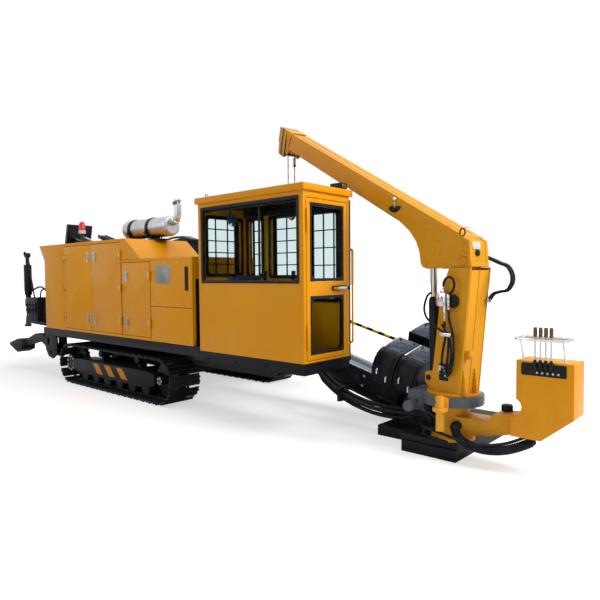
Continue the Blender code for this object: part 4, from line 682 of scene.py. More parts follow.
FINISH = (
    # look, edge radius, nodes
    ("black", 0.004,
     "track_frame_left track_frame_right rear_leg_left rear_leg_right car_body "
     "rear_valve_rack anchor_frame"),
    ("black", 0.003, "deck_frame cab_floor tilt_barrel luff_barrel"),
    ("dark_grey", 0.002, "outlet_pipe"),
    ("dark_grey", 0.008, "engine_block"),
    ("yellow", 0.004, "hood"),
    ("yellow", 0.003,
     "hood_door_rear hood_door_middle hood_door_front cab_wall_left cab_wall_right "
     "cab_wall_rear cab_front_frame cab_door"),
    ("steel", 0.002, "muffler"),
    ("black", 0.001, "muffler_straps"),
    ("beacon", 0.0, "beacon"),
    ("yellow", 0.007, "cab_roof"),
    ("glass", 0.0, "glass_door glass_left glass_right glass_rear"),
    ("black", 0.0, "window_guard_right window_guard_rear"),
    ("yellow", 0.0, "grab_rail"),
    ("black", 0.006, "hydraulic_tank"),
    ("yellow", 0.006, "fuel_tank"),
    ("boom", 0.002, "drill_boom"),
    ("steel", 0.001, "drive_rack drive_spindle"),
    ("gloss_black", 0.005, "drive_head"),
    ("gloss_black", 0.006, "vise_rear vise_front"),
    ("guard_stripes", 0.002, "guard_bar"),
    ("bright", 0.002, "tilt_rod luff_rod"),
    ("crane_yellow", 0.004, "crane_pedestal crane_column"),
    ("slew", 0.005, "slewing_housing"),
    ("console", 0.004, "control_console"),
    ("bright", 0.0, "console_rail"),
    ("rubber", 0.0, "supply_hoses"),
    ("crane_yellow", 0.003, "crane_jib"),
    ("jib_head", 0.003, "jib_inner"),
    ("hook_stripes", 0.002, "hook_block"),
    ("rope", 0.0, "hoist_rope"),
)


def finish_nodes():
    """Material and edges for each node that comes from the CAD."""
    for look, width, names in FINISH:
        for name in names.split():
            give(NODES[name], look)
            soften(NODES[name], width)


# Tracks


def loop_frame(distance):
    """Place and outward direction on the loop's inner face, seen from the side."""
    half = WHEEL_BASE / 2
    turn = math.pi * LOOP_INNER
    distance %= 2 * WHEEL_BASE + 2 * turn
    if distance < WHEEL_BASE:
        return (distance - half, -LOOP_INNER), (0.0, -1.0)
    distance -= WHEEL_BASE
    if distance < turn:
        a = distance / LOOP_INNER
        out = (math.sin(a), -math.cos(a))
        return (half + LOOP_INNER * out[0], LOOP_INNER * out[1]), out
    distance -= turn
    if distance < WHEEL_BASE:
        return (half - distance, LOOP_INNER), (0.0, 1.0)
    a = (distance - WHEEL_BASE) / LOOP_INNER
    out = (-math.sin(a), math.cos(a))
    return (-half + LOOP_INNER * out[0], LOOP_INNER * out[1]), out


def shoe_source():
    """One shoe with its grouser bars, its pair of links, its pin and its bolts."""
    solid = Solid()
    profile = [(-0.070, 0.030), (0.068, 0.030), (0.073, 0.036), (0.073, 0.043), (0.040, 0.044),
               (0.034, 0.064), (0.018, 0.064), (0.012, 0.045), (-0.018, 0.045), (-0.024, 0.060),
               (-0.038, 0.060), (-0.044, 0.044), (-0.070, 0.043)]
    solid.prism(profile, -0.222, 0.222, "Y")
    for y in (-0.062, 0.062):
        link = [(-0.080, 0.004), (0.056, 0.002), (0.070, 0.012), (0.060, 0.032), (-0.066, 0.032),
                (-0.084, 0.016)]
        solid.prism(link, y - 0.012, y + 0.012, "Y")
        for x in (-0.045, 0.045):
            solid.rod((x, y, 0.043), (x, y, 0.052), 0.009, 6)
    solid.rod((0.062, -0.082, 0.016), (0.062, 0.082, 0.016), 0.0125, 12)
    return solid


def tracks():
    """Shoes, frame marks and hub bolts of both crawlers."""
    pitch = (2 * WHEEL_BASE + 2 * math.pi * LOOP_INNER) / SHOE_COUNT
    for side, name in ((-1, "left"), (1, "right")):
        middle = side * (SIDE_Y - SHOE_HALF)
        spots = []
        for number in range(SHOE_COUNT):
            (x, z), out = loop_frame((number + 0.5) * pitch)
            normal = Vector((out[0], 0, out[1]))
            along = Vector((-out[1], 0, out[0]))
            turn = Matrix((along, normal.cross(along), normal)).transposed()
            spots.append((at(x, middle, z + AXLE_Z), turn))
        scatter(f"track_shoes_{name}", spots, shoe_source(), 1.0, "shoe", "chassis",
                [f"track_{name}"])
        face = side * (SIDE_Y - 0.035)
        bars = Solid(ON_MACHINE)
        for low in (-0.477, -0.163, 0.155):
            outline = [(low + 0.128, 0.225), (low + 0.283, 0.225), (low + 0.148, 0.365), (low, 0.365)]
            bars.prism(outline, *sorted((face - side * 0.002, face + side * 0.003)), "Y")
        piece(bars, f"frame_marks_{name}", "orange", "chassis", 0.001)
        spots = []
        for x, radius, count, inset in ((-WHEEL_BASE / 2, 0.098, 9, 0.005),
                                        (WHEEL_BASE / 2, 0.036, 5, 0.01)):
            spots += [(at(x + radius * c, face - side * inset, AXLE_Z + radius * s), facing((0, side, 0)))
                      for c, s in circle(count)]
        scatter(f"hub_bolts_{name}", spots, hex_bolt(), 0.011, "steel", "chassis")


# Hood


DOOR_EDGES = (-1.216, -0.395, 0.392, 1.063)
DOOR_BOTTOM = 0.83
DOOR_TOPS = (2.045, 1.775)


def hood_details():
    """What the hood carries: latches, hinges, screws, seams, grille and plate."""
    near = -SIDE_Y
    hood_latches(near)
    screws = [(x, z) for z in (1.75, 1.256, 1.196, 0.84) for x in (1.10, 1.36, 1.62, 1.86)]
    screws += [(x, z) for x in (-1.82, -1.26) for z in (0.86, 1.30, 1.75)]
    spots = [(at(x, near, z), facing((0, -1, 0))) for x, z in screws]
    scatter("hood_screws", spots, dome_screw(), 0.0065, "steel", "chassis")
    seams = Solid(ON_MACHINE)
    for x, z in (((1.066, 1.892), (1.2235, 1.2295)), ((1.0655, 1.0695), (0.80, 1.79)),
                 ((0.395, 1.063), (1.808, 1.812))):
        seams.box(x, (near - 0.0006, near + 0.002), z)
    piece(seams, "hood_seams", "gasket", "chassis")
    slot = Solid(ON_MACHINE)
    slot.ring(rounded((1.768, 1.826), (1.425, 1.702), 0.012),
              rounded((1.776, 1.818), (1.433, 1.694), 0.008),
              near - 0.006, near + 0.001, "Y")
    slot.prism(rounded((1.774, 1.82), (1.43, 1.697), 0.008), near - 0.002, near + 0.001, "Y")
    for i in range(9):
        z = 1.452 + i * 0.028
        slot.prism([(1.776, z), (1.818, z), (1.818, z + 0.010), (1.776, z + 0.010)],
                   near - 0.005, near, "Y")
    piece(slot, "hood_slot_grille", "gasket", "chassis")
    plate = Solid(ON_MACHINE)
    plate.prism(rounded((1.182, 1.485), (1.504, 1.721), 0.01), near - 0.003, near + 0.001, "Y")
    piece(plate, "hood_bare_plate", "plate_grey", "chassis", 0.001)
    rivets = [(at(x, near - 0.003, z), facing((0, -1, 0))) for x in (1.197, 1.470) for z in (1.519, 1.706)]
    scatter("plate_rivets", rivets, dome_screw(), 0.005, "steel", "chassis")
    hinge_leaves(near)
    lips = Solid(ON_MACHINE)
    lips.box((-1.86, 1.89), (-0.170, -0.152), (0.80, 0.83))
    for x in (-1.4, -0.2, 1.0):
        lips.box((x - 0.02, x + 0.02), (-0.163, -0.150), (0.83, 1.75))
    piece(lips, "hood_far_stiffeners", "yellow", "chassis", 0.002)


def hood_latches(near):
    """Two paddle latches on each door of the hood."""
    latch = Solid()
    latch.prism(rounded((-0.54, 0.54), (-1.0, 1.0), 0.40), -0.02, 0.10, "Z")
    latch.ring(rounded((-0.45, 0.45), (-0.88, 0.88), 0.32), rounded((-0.34, 0.34), (-0.72, 0.72), 0.2),
               0.08, 0.17, "Z")
    latch.prism(rounded((-0.17, 0.17), (-0.62, 0.62), 0.12), 0.09, 0.20, "Z")
    latch.rod((0, 0.40, 0.18), (0, 0.40, 0.28), 0.13, 14)
    for body, places in (("door_rear", ((-0.476, 1.87), (-0.502, 1.01))),
                         ("door_middle", ((-0.294, 1.87), (-0.311, 1.01))),
                         ("door_front", ((0.526, 1.597), (0.521, 1.006)))):
        source = Solid()
        source.bm = latch.bm.copy()
        spots = [(at(x, near, z), facing((0, -1, 0))) for x, z in places]
        scatter(f"latches_{body}", spots, source, LATCH_HALF, "steel", body)


def hinge_leaves(near):
    """Steel leaves with two screws at each knuckle of the hood's doors."""
    for body, edge, away, rows, top in (("door_rear", 0, -1, 3, DOOR_TOPS[0]),
                                        ("door_middle", 2, 1, 3, DOOR_TOPS[0]),
                                        ("door_front", 3, 1, 2, DOOR_TOPS[1])):
        leaves = Solid(ON_MACHINE)
        x = DOOR_EDGES[edge]
        for i in range(rows):
            z = DOOR_BOTTOM + 0.18 + (top - 0.355 - DOOR_BOTTOM) * i / (rows - 1)
            leaves.box(sorted((x - away * 0.016, x - away * 0.046)), (near - 0.0115, near - 0.008),
                       (z - 0.034, z + 0.034))
            for lift in (-0.02, 0.02):
                screw = x - away * 0.031
                leaves.rod((screw, near - 0.0105, z + lift), (screw, near - 0.0135, z + lift), 0.005, 8)
        piece(leaves, f"hinge_leaves_{body}", "steel", body, 0.001)


def far_side_vents():
    """Louvres on the hood's far face, and the caps of the tanks."""
    slats = [(at(x, -0.162, 1.35 + i * 0.045), facing((0, 1, 0))) for x in (-1.5, -0.75, 0.1)
             for i in range(9)]
    blade = Solid()
    blade.prism([(-0.006, 0.0), (0.022, 0.0), (0.022, 0.004), (0.004, 0.018)], -0.22, 0.22, "Y",
                Matrix.Rotation(math.radians(90), 4, "Z"))
    scatter("hood_louvres", slats, blade, 1.0, "yellow", "chassis")
    caps = Solid(ON_MACHINE)
    for x in (-1.50, 0.05):
        caps.rod((x, 0.80, 1.288), (x, 0.80, 1.312), 0.062, 24)
        caps.box((x - 0.045, x + 0.045), (0.792, 0.808), (1.308, 1.325))
    piece(caps, "tank_caps", "black", "chassis", 0.003)
    straps = Solid(ON_MACHINE)
    for low, high in ((-1.80, -0.35), (-0.25, 1.70)):
        for share in (0.2, 0.8):
            x = low + (high - low) * share
            path = [(1.1235, 0.80), (1.1235, 1.161), (1.0415, 1.2435), (0.56, 1.2435)]
            inner = [(1.119, 0.80), (1.119, 1.159), (1.0395, 1.2390), (0.56, 1.2390)]
            straps.prism(path + inner[::-1], x - 0.03, x + 0.03, "X")
    piece(straps, "tank_straps", "black", "chassis", 0.001)


def exhaust():
    """Bolted ears of the straps, the bend's clamp and the silencer's seams."""
    y, z = -0.60, 2.258
    clamp = Solid(ON_MACHINE)
    for x in (-0.08, 0.36):
        for side in (-1, 1):
            clamp.box((x - 0.025, x + 0.025), sorted((y + side * 0.135, y + side * 0.165)),
                      (z - 0.075, z - 0.055))
            clamp.rod((x, y + side * 0.152, z - 0.10), (x, y + side * 0.152, z - 0.035), 0.007, 8)
            clamp.sweep([(x, y + side * 0.140, z - 0.06), (x, y + side * 0.10, HOOD_CLEAR)], 0.008, 8)
    piece(clamp, "strap_ears", "black", "chassis", 0.001)
    band = Solid(ON_MACHINE)
    band.rod((0.845, y, z + 0.058), (0.872, y, z + 0.075), 0.051, 22)
    band.box((0.845, 0.875), (y - 0.066, y - 0.046), (z + 0.05, z + 0.082))
    piece(band, "stack_clamp", "bright", "chassis", 0.001)
    seams = Solid(ON_MACHINE)
    for x in (-0.235, 0.722):
        seams.sweep([(x, y + 0.1345 * c, z + 0.1345 * s) for c, s in circle(28)], 0.003, 6, True)
    piece(seams, "silencer_seams", "steel", "chassis")


HOOD_CLEAR = 2.095

# Cab


def cab_details():
    """Window gaskets, door, roof, the far post and the panel behind the cab."""
    near = -SIDE_Y
    frame_ring = Solid(ON_MACHINE)
    frame_ring.ring(rounded((2.068, 3.515), (1.514, 2.338), 0.012),
                    rounded((2.104, 3.484), (1.545, 2.305), 0.02),
                    near - 0.005, near + 0.030, "Y")
    piece(frame_ring, "left_window_gasket", "gasket", "chassis", 0.002)
    post = Solid(ON_MACHINE)
    post.box((2.928, 2.952), (near + 0.041, near + 0.052), (1.53, 2.32))
    post.box((2.10, 3.49), (near + 0.041, near + 0.050), (2.285, 2.32))
    piece(post, "left_window_track", "gasket", "chassis", 0.001)
    far = -0.441
    rims = Solid(ON_MACHINE)
    for x0, x1, z0, z1 in ((2.12, 2.37, 1.58, 2.25), (2.49, 2.97, 1.58, 2.25), (3.05, 3.46, 1.33, 2.25)):
        outer = rounded((x0 - 0.018, x1 + 0.018), (z0 - 0.018, z1 + 0.018), 0.03)
        inner = rounded((x0 + 0.016, x1 - 0.016), (z0 + 0.016, z1 - 0.016), 0.035)
        rims.ring(outer, inner, far, far + 0.006, "Y")
        rims.ring(outer, inner, far - 0.062, far - 0.0485, "Y")
    piece(rims, "right_window_gaskets", "gasket", "chassis", 0.001)
    rear = Solid(ON_MACHINE)
    for low, high in ((2.0195, 2.0217), (2.0695, 2.080)):
        rear.ring(rounded((-1.082, -0.528), (1.583, 2.267), 0.03),
                  rounded((-1.05, -0.56), (1.616, 2.234), 0.035),
                  low, high, "X")
    rear.box((2.07, 2.082), (-0.665, -0.605), (1.60, 2.25))
    piece(rear, "rear_window_gasket", "gasket", "chassis", 0.001)
    cab_door_details()
    cab_roof_details()
    channel = Solid(ON_MACHINE)
    channel.box((3.495, 3.515), (-0.385, -0.345), (0.70, 2.36))
    for z in (0.78, 1.25, 2.30):
        channel.box((3.497, 3.513), (-0.4407, -0.36), (z, z + 0.03))
    piece(channel, "far_post", "black", "chassis", 0.002)
    gap = Solid(ON_MACHINE)
    gap.box((1.898, 2.018), (-1.02, -0.60), (0.86, 1.56))
    gap.box((1.8955, 1.899), (-1.10, -0.60), (0.80, 1.56))
    for z in (0.98, 1.25, 1.50):
        gap.box((1.8975, 2.0185), (-1.028, -0.60), (z, z + 0.03))
    piece(gap, "cab_gap_panel", "gasket", "chassis", 0.003)


def cab_door_details():
    """Gaskets of the door's panes, and the plate and grip of its handle."""
    door = Solid(ON_MACHINE)
    for y0, y1, z0, z1 in ((-1.054, -0.532, 1.532, 2.277), (-1.054, -0.532, 0.832, 1.395)):
        door.ring(rounded((y0 + 0.002, y1 - 0.002), (z0 + 0.002, z1 - 0.002), 0.006),
                  rounded((y0 + 0.030, y1 - 0.022), (z0 + 0.030, z1 - 0.030), 0.045), 3.531, 3.566, "X")
    piece(door, "door_gaskets", "gasket", "door_cab", 0.0015)
    latch = Solid(ON_MACHINE)
    latch.prism(rounded((-0.735, -0.495), (1.437, 1.487), 0.02), 3.5685, 3.576, "X")
    latch.rod((3.605, -0.535, 1.461), (3.630, -0.535, 1.461), 0.019, 18)
    piece(latch, "door_latch_plate", "gasket", "door_cab", 0.002)
    grip = Solid(ON_MACHINE)
    grip.sweep([(3.614, y, 1.461) for y in (-0.693, -0.66, -0.60, -0.56, -0.527)],
               [0.0145, 0.017, 0.0175, 0.016, 0.0145], 14)
    piece(grip, "door_grip", "bright", "door_cab")


def cab_roof_details():
    """Lifting eyes and the work lamp on the cab's roof."""
    lifts = Solid(ON_MACHINE)
    for x, y in ((2.08, -1.07), (2.08, -0.50), (3.30, -0.50)):
        lifts.sweep([(x + 0.020 * c, y, 2.474 + 0.020 * s) for c, s in circle(18)], 0.0055, 8, True)
        lifts.rod((x, y, 2.445), (x, y, 2.456), 0.016, 14)
    piece(lifts, "roof_lifting_eyes", "yellow", "chassis")
    lamp = Solid(ON_MACHINE)
    lamp.box((3.42, 3.56), (-0.56, -0.46), (2.456, 2.515))
    lamp.box((3.47, 3.51), (-0.53, -0.49), (2.446, 2.46))
    lamp.ring(rounded((-0.552, -0.468), (2.462, 2.509), 0.01),
              rounded((-0.545, -0.475), (2.468, 2.503), 0.008),
              3.559, 3.568, "X")
    piece(lamp, "roof_work_lamp", "gasket", "chassis", 0.003)
    lens = Solid(ON_MACHINE)
    lens.prism(rounded((-0.546, -0.474), (2.467, 2.504), 0.008), 3.558, 3.564, "X")
    piece(lens, "roof_lamp_lens", "bright", "chassis", 0.002)


def cab_inside():
    """Roof lining, fan, arm rests, cushions, side panel and window catches."""
    lining = Solid(ON_MACHINE)
    lining.prism(rounded((2.09, 3.50), (-1.08, -0.51), 0.03), 2.352, 2.378, "Z")
    lining.box((2.09, 3.50), (-0.52, -0.496), (2.27, 2.36))
    piece(lining, "roof_lining", "gasket", "chassis", 0.004)
    fan = Solid(Matrix.Translation(at(2.20, -0.80, 2.22)))
    for radius in (0.075, 0.055, 0.035):
        fan.sweep([(0.0, radius * c, radius * s) for c, s in circle(24)], 0.003, 6, True)
    fan.rod((-0.06, 0, 0), (0.012, 0, 0), 0.026, 18)
    fan.rod((-0.04, 0, 0), (-0.04, 0, 0.14), 0.008, 8)
    for i in range(FAN_BLADES):
        turn = Matrix.Rotation(2 * math.pi * i / FAN_BLADES, 4, "X")
        fan.prism([(0.010, -0.012), (0.066, -0.024), (0.066, 0.020), (0.010, 0.012)], -0.004, 0.004, "X",
                  fan.place @ turn @ Matrix.Rotation(0.35, 4, "Y"))
    piece(fan, "cab_fan", "fan", "chassis", 0.001)
    y = SEAT_Y
    seat = Solid(ON_MACHINE)
    for side in (-1, 1):
        a = y + side * 0.215
        seat.box((2.50, 2.97), (a - 0.038, a + 0.038), (1.441, 1.478))
        seat.rod((2.90, a, 1.476), (2.90, a, 1.52), 0.034, 16, 0.018)
        seat.rod((2.915, a, 1.55), (2.925, a, 1.64), 0.019, 14, 0.024)
    piece(seat, "arm_rests", "gasket", "chassis", 0.006)
    cushions = Solid(ON_MACHINE)
    cushions.prism(rounded((2.345, 2.825), (y - 0.185, y + 0.185), 0.07), 1.215, 1.265, "Z")
    cushions.prism([(2.475, 1.29), (2.405, 1.57), (2.425, 1.60), (2.46, 1.58), (2.515, 1.30)], y - 0.17,
                   y + 0.17, "Y")
    cushion = piece(cushions, "seat_cushions", "seat", "chassis", 0.018)
    desk = Solid(ON_MACHINE)
    desk.prism([(3.05, 0.765), (3.30, 0.765), (3.34, 1.25), (3.18, 1.36), (3.12, 1.33)], -1.08, -0.98, "Y")
    desk.box((3.14, 3.17), (-1.06, -0.90), (1.37, 1.50))
    desk.box((3.13, 3.16), (-1.03, -1.0), (1.32, 1.42))
    piece(desk, "cab_side_panel", "gasket", "chassis", 0.006)
    knobs = Solid(ON_MACHINE)
    for x, z in ((2.955, 1.86), (3.04, 1.66)):
        knobs.box((x - 0.012, x + 0.012), (-0.515, -0.4875), (z - 0.03, z + 0.03))
    piece(knobs, "window_catches", "gasket", "chassis", 0.003)


# Drilling boom


def boom_details():
    """Rack teeth, cable chain, bolts and edge rims of the drilling boom."""
    normal = Vector((math.sin(SLOPE), 0, math.cos(SLOPE)))
    along = Vector((math.cos(SLOPE), 0, -math.sin(SLOPE)))
    turn = Matrix((along, normal.cross(along), normal)).transposed()
    tooth = Solid()
    tooth.prism([(-0.021, 0.0), (0.021, 0.0), (0.010, 0.009), (-0.010, 0.009)], -0.028, 0.028, "Y")
    spots = [(on_boom(-6.50 + i * RACK_PITCH, BOOM_Y, 0.0355), turn) for i in range(RACK_TEETH)]
    scatter("rack_teeth", spots, tooth, 1.0, "steel", "boom")
    link = Solid()
    link.boxes([
        ((-0.026, 0.026), (-0.066, -0.056), (0.0, 0.048)),
        ((-0.026, 0.026), (0.056, 0.066), (0.0, 0.048)),
        ((-0.012, 0.012), (-0.060, 0.060), (0.0, 0.008)),
        ((-0.012, 0.012), (-0.060, 0.060), (0.041, 0.049)),
    ])
    spots = [(on_boom(-6.55 + i * CHAIN_PITCH, BOOM_Y + 0.38, 0.0335), turn) for i in range(CHAIN_LINKS)]
    scatter("cable_chain", spots, link, 1.0, "gasket", "boom")
    bolts = [(on_boom(u, BOOM_Y + side * 0.115, w), facing((0, side, 0)))
             for u in (-6.6, -5.2, -3.8, -2.4, -1.0, 0.2) for w in (-0.09, -0.20) for side in (-1, 1)]
    scatter("boom_bolts", bolts, hex_bolt(), 0.012, "steel", "boom")
    rims = Solid()
    for side in (-1, 1):
        rims.sweep([on_boom(u, BOOM_Y + side * 0.1505, -0.006) for u in (-6.75, -1.9, 0.42)], 0.0035, 8)
    piece(rims, "boom_edge_rims", "bright", "boom")


def head_details():
    """Hoses and bolts of the drive head."""
    low, high = -3.64, -2.98
    hoses = Solid()
    for side, lift, back in ((-1, 0.0, 0.0), (1, 0.03, 0.05), (-0.4, 0.06, 0.08), (0.4, 0.02, 0.12)):
        y = BOOM_Y + side * 0.11
        hoses.hoses([[on_boom(low - 0.115, y, 0.26),
                      on_boom(low - 0.22, y, 0.30 + lift),
                      on_boom(low - 0.20 - back, y + 0.03, 0.48 + lift),
                      on_boom(low + 0.02, y + 0.02, 0.60 + lift),
                      on_boom(low + 0.22, y * 0.5 + 0.07, 0.69)]], 0.015, 6)
    for side in (-1, 1):
        y = BOOM_Y + side * 0.11
        hoses.rod(on_boom(low - 0.135, y, 0.24), on_boom(low - 0.10, y, 0.24), 0.05, 18)
        hoses.rod(on_boom(low - 0.035, y, 0.42), on_boom(low, y, 0.42), 0.04, 18)
    piece(hoses, "head_hoses", "rubber", "carriage")
    out = Vector((math.cos(SLOPE), 0, -math.sin(SLOPE)))
    bolts = [(on_boom(high, BOOM_Y + 0.108 * c, DRILL_W + 0.108 * s), facing(out)) for c, s in circle(10)]
    bolts += [(on_boom(u, BOOM_Y + side * 0.215, w), facing((0, side, 0)))
              for side in (-1, 1) for u in (low + 0.30, high - 0.16) for w in (0.15, 0.38)]
    scatter("head_bolts", bolts, hex_bolt(), 0.011, "steel", "carriage")


VISE_ROLL = math.radians(14.4)
VISE_TOP = 0.182
VISE_LENGTH = 0.245


def rolled(u, p, q):
    """A point of the clamps, whose section is rolled about the drill's axis."""
    return on_boom(u, BOOM_Y + p * math.cos(VISE_ROLL) - q * math.sin(VISE_ROLL),
                   DRILL_W + p * math.sin(VISE_ROLL) + q * math.cos(VISE_ROLL))


def vise_details():
    """Port rims, bright steel strips that paint a highlight along the top plates' rear edges, corner bolts,
    end plates and fittings on the two clamps.
    """
    tilt = Matrix.Rotation(SLOPE, 3, "Y") @ Matrix.Rotation(VISE_ROLL, 3, "X")
    for name, start, body in (("rear", 0.52, "boom"), ("front", 0.78, "clamp_front")):
        clamp_details(name, start, body, tilt)
    rams = Solid()
    for side in (-1, 1):
        y = BOOM_Y + side * 0.20
        rams.rod(on_boom(0.465, y, 0.12), on_boom(0.488, y, 0.12), 0.055, 24)
    piece(rams, "clamp_ram_ends", "gloss_black", "boom", 0.003)
    jaws = Solid()
    for u in (0.548, 0.738):
        for side in (-1, 1):
            for p, radius in ((0.060, 0.030), (0.074, 0.024)):
                jaws.rod(rolled(u - 0.012, side * p, 0.075), rolled(u + 0.012, side * p, 0.075), radius, 20)
    piece(jaws, "clamp_jaw_rollers", "shoe", "boom", 0.002)


def clamp_details(name, start, body, tilt):
    """What one clamp carries, from its rear face at start along the boom."""
    frame = Matrix.Translation(rolled(start, 0, 0)) @ tilt.to_4x4()
    plates, highlight_strips, fittings, tops, bands = Solid(frame), Solid(frame), Solid(), Solid(frame), Solid()
    bolts = []
    for side in (-1, 1):
        port = Matrix.Translation(rolled(start + VISE_LENGTH / 2, side * 0.235, VISE_TOP)) @ tilt.to_4x4()
        plates.ring(disc(0.056, 28), disc(0.0455, 28), -0.001, 0.005, "Z", port)
        across = sorted((side * 0.094, side * 0.386))
        tops.box((0.004, 0.241), across, (VISE_TOP - 0.001, VISE_TOP + 0.0018))
        # Bright steel strip along each top plate's rear edge: a painted highlight where that edge catches
        # the light.
        highlight_strips.box((-0.001, 0.016), across, (VISE_TOP - 0.006, VISE_TOP + 0.0035))
        bolts += [(frame @ Vector((k, side * p, VISE_TOP + 0.0018)), tilt) for k in (0.045, 0.205)
                  for p in (0.125, 0.345)]
        near, far = sorted((side * 0.10, side * 0.38))
        plates.box((0.03, 0.215), (near + 0.02, far - 0.02), (VISE_TOP + 0.001, VISE_TOP + 0.0026))
        out = tilt @ Vector((0, side, 0))
        for k, q in ((0.075, 0.02), (0.185, -0.03)):
            spot = frame @ Vector((k, side * 0.548, q))
            tip = spot + out * 0.030
            inside = tip - out * 0.006
            fittings.rod(spot, spot + out * 0.018, 0.012, 6)
            fittings.rod(spot + out * 0.014, tip, 0.008, 10)
            fittings.rod(inside + Vector((0, 0, 0.004)), inside - Vector((0, 0, 0.042)), 0.010, 10)
    piece(plates, f"clamp_{name}_port_rims", "clamp_top", body, 0.001)
    piece(tops, f"clamp_{name}_top_plates", "clamp_top", body, 0.0008)
    # Bright steel for the painted highlight strips on the top plates' rear edges.
    piece(highlight_strips, f"clamp_{name}_wear_strips", "bright", body, 0.001)
    scatter(f"clamp_{name}_bolts", bolts, hex_bolt(), 0.009, "shoe", body)
    piece(fittings, f"clamp_{name}_fittings", "bright", body, 0.0005)
    turns = [math.radians(degrees) for degrees in range(0, 91, 10)]
    for k in (0.035, 0.215):
        for side in (-1, 1):
            bands.sweep([rolled(start + k, side * (0.39 + 0.162 * math.cos(t)), -0.02 + 0.204 * math.sin(t))
                         for t in turns], 0.006, 6)
    piece(bands, f"clamp_{name}_cover_ribs", "gloss_black", body)


# Crane


def column_back(z):
    """The column's sloping back face, along the crane's own frame."""
    return -0.171 - 0.1 * (z - 0.548)


def crane_details():
    """What the column carries, its cylinder's gland and the caps of the heel pin."""
    column_port()
    column_valve_block()
    column_hoses()
    column_seams()
    foot, eye = Vector(LUFF_FOOT), Vector(LUFF_EYE)
    lean = (eye - foot).to_track_quat("Z", "Y").to_matrix().to_4x4()
    gland = Solid(CRANE_PLACE @ Matrix.Translation(foot) @ lean)
    for low, high, radius in ((0.601, 0.690, 0.051), (0.690, 0.712, 0.047), (0.712, 0.722, 0.040)):
        gland.ring(disc(radius, 32), disc(LUFF_BORE, 32), low, high, "Z")
    piece(gland, "luff_gland", "black", "luff_cylinder", 0.002)
    caps = Solid(CRANE_PLACE)
    a, z = HEEL_PIN
    for side in (-1, 1):
        low, high = sorted((side * 0.131, side * 0.140))
        caps.rod((a, low, z), (a, high, z), 0.030, 26)
        caps.sweep([(a + 0.027 * c, side * 0.140, z + 0.027 * s) for c, s in circle(26)], 0.004, 6, True)
        caps.rod((a, side * 0.138, z), (a, side * 0.146, z), 0.011, 6)
    piece(caps, "heel_pin_caps", "crane_yellow", "crane", 0.001)


def column_port():
    """The bolted foot of the column, and the fittings in its port."""
    bolts = [(CRANE_PLACE @ Vector((0.209 * c, 0.209 * s, 0.5685)), Matrix.Identity(3)) for c,
             s in circle(18, 0.5)]
    scatter("column_flange_bolts", bolts, hex_bolt(), 0.010, "crane_yellow", "crane")
    port = Solid(COLUMN_FACE)
    port.prism(rounded((-0.058, 0.044), (0.668, 0.818), 0.012), 0.0004, 0.002, "Y")
    piece(port, "column_port", "gasket", "crane")
    ends = Solid(COLUMN_FACE)
    for a, z, radius in ((-0.010, 0.790, 0.013), (-0.040, 0.752, 0.012), (-0.048, 0.712, 0.012),
                         (0.028, 0.735, 0.009)):
        ends.rod((a, -0.004, z), (a, 0.018, z), radius, 6)
        ends.rod((a, 0.016, z), (a, 0.030, z + 0.012), radius * 0.8, 10)
    ends.box((0.016, 0.040), (0.001, 0.014), (0.755, 0.80))
    piece(ends, "column_port_fittings", "steel", "crane", 0.001)


def column_valve_block():
    """The bright valve block, the dark disc beside it, and the ring of weld round the disc."""
    block = Solid(COLUMN_FACE)
    block.boxes([
        ((-0.070, 0.032), (0.0, 0.062), (1.318, 1.432)),
        ((-0.050, -0.005), (0.012, 0.052), (1.432, 1.456)),
        ((-0.020, 0.046), (0.010, 0.050), (1.335, 1.360)),
    ])
    block.rods([
        ((-0.028, 0.032, 1.456), (-0.028, 0.032, 1.492), 0.012, 6),
        ((-0.100, 0.058, 1.425), (-0.100, 0.058, 1.345), 0.014, 14),
        ((-0.070, 0.072, 1.400), (-0.070, 0.072, 1.290), 0.012, 14),
        ((-0.022, 0.066, 1.392), (-0.022, 0.074, 1.392), 0.020, 6),
        ((-0.042, 0.034, 1.318), (-0.050, 0.040, 1.228), 0.014, 6),
        ((-0.050, 0.040, 1.232), (-0.046, 0.042, 1.180), 0.009, 10),
        ((-0.098, 0.055, 1.345), (-0.099, 0.052, 1.285), 0.011, 6),
    ])
    piece(block, "crane_valve_block", "bright", "crane", 0.003)
    disc_a, disc_z = -0.112, 1.362
    lid = Solid(COLUMN_FACE)
    lid.rod((disc_a, -0.002, disc_z), (disc_a, 0.026, disc_z), 0.057, 32)
    lid.rod((disc_a, 0.024, disc_z), (disc_a, 0.034, disc_z), 0.040, 24)
    piece(lid, "crane_hose_disc", "gasket", "crane", 0.003)
    weld = Solid(COLUMN_FACE)
    a, z = -0.115, 1.353
    weld.sweep([(a + 0.085 * c, 0.001, z + 0.085 * s) for c, s in circle(32)], 0.0022, 6, True)
    for c, s in circle(8):
        spot = (a + 0.070 * c, z + 0.070 * s)
        weld.rod((spot[0], -0.001, spot[1]), (spot[0], 0.003, spot[1]), 0.004, 8)
    piece(weld, "column_weld_ring", "crane_yellow", "crane")


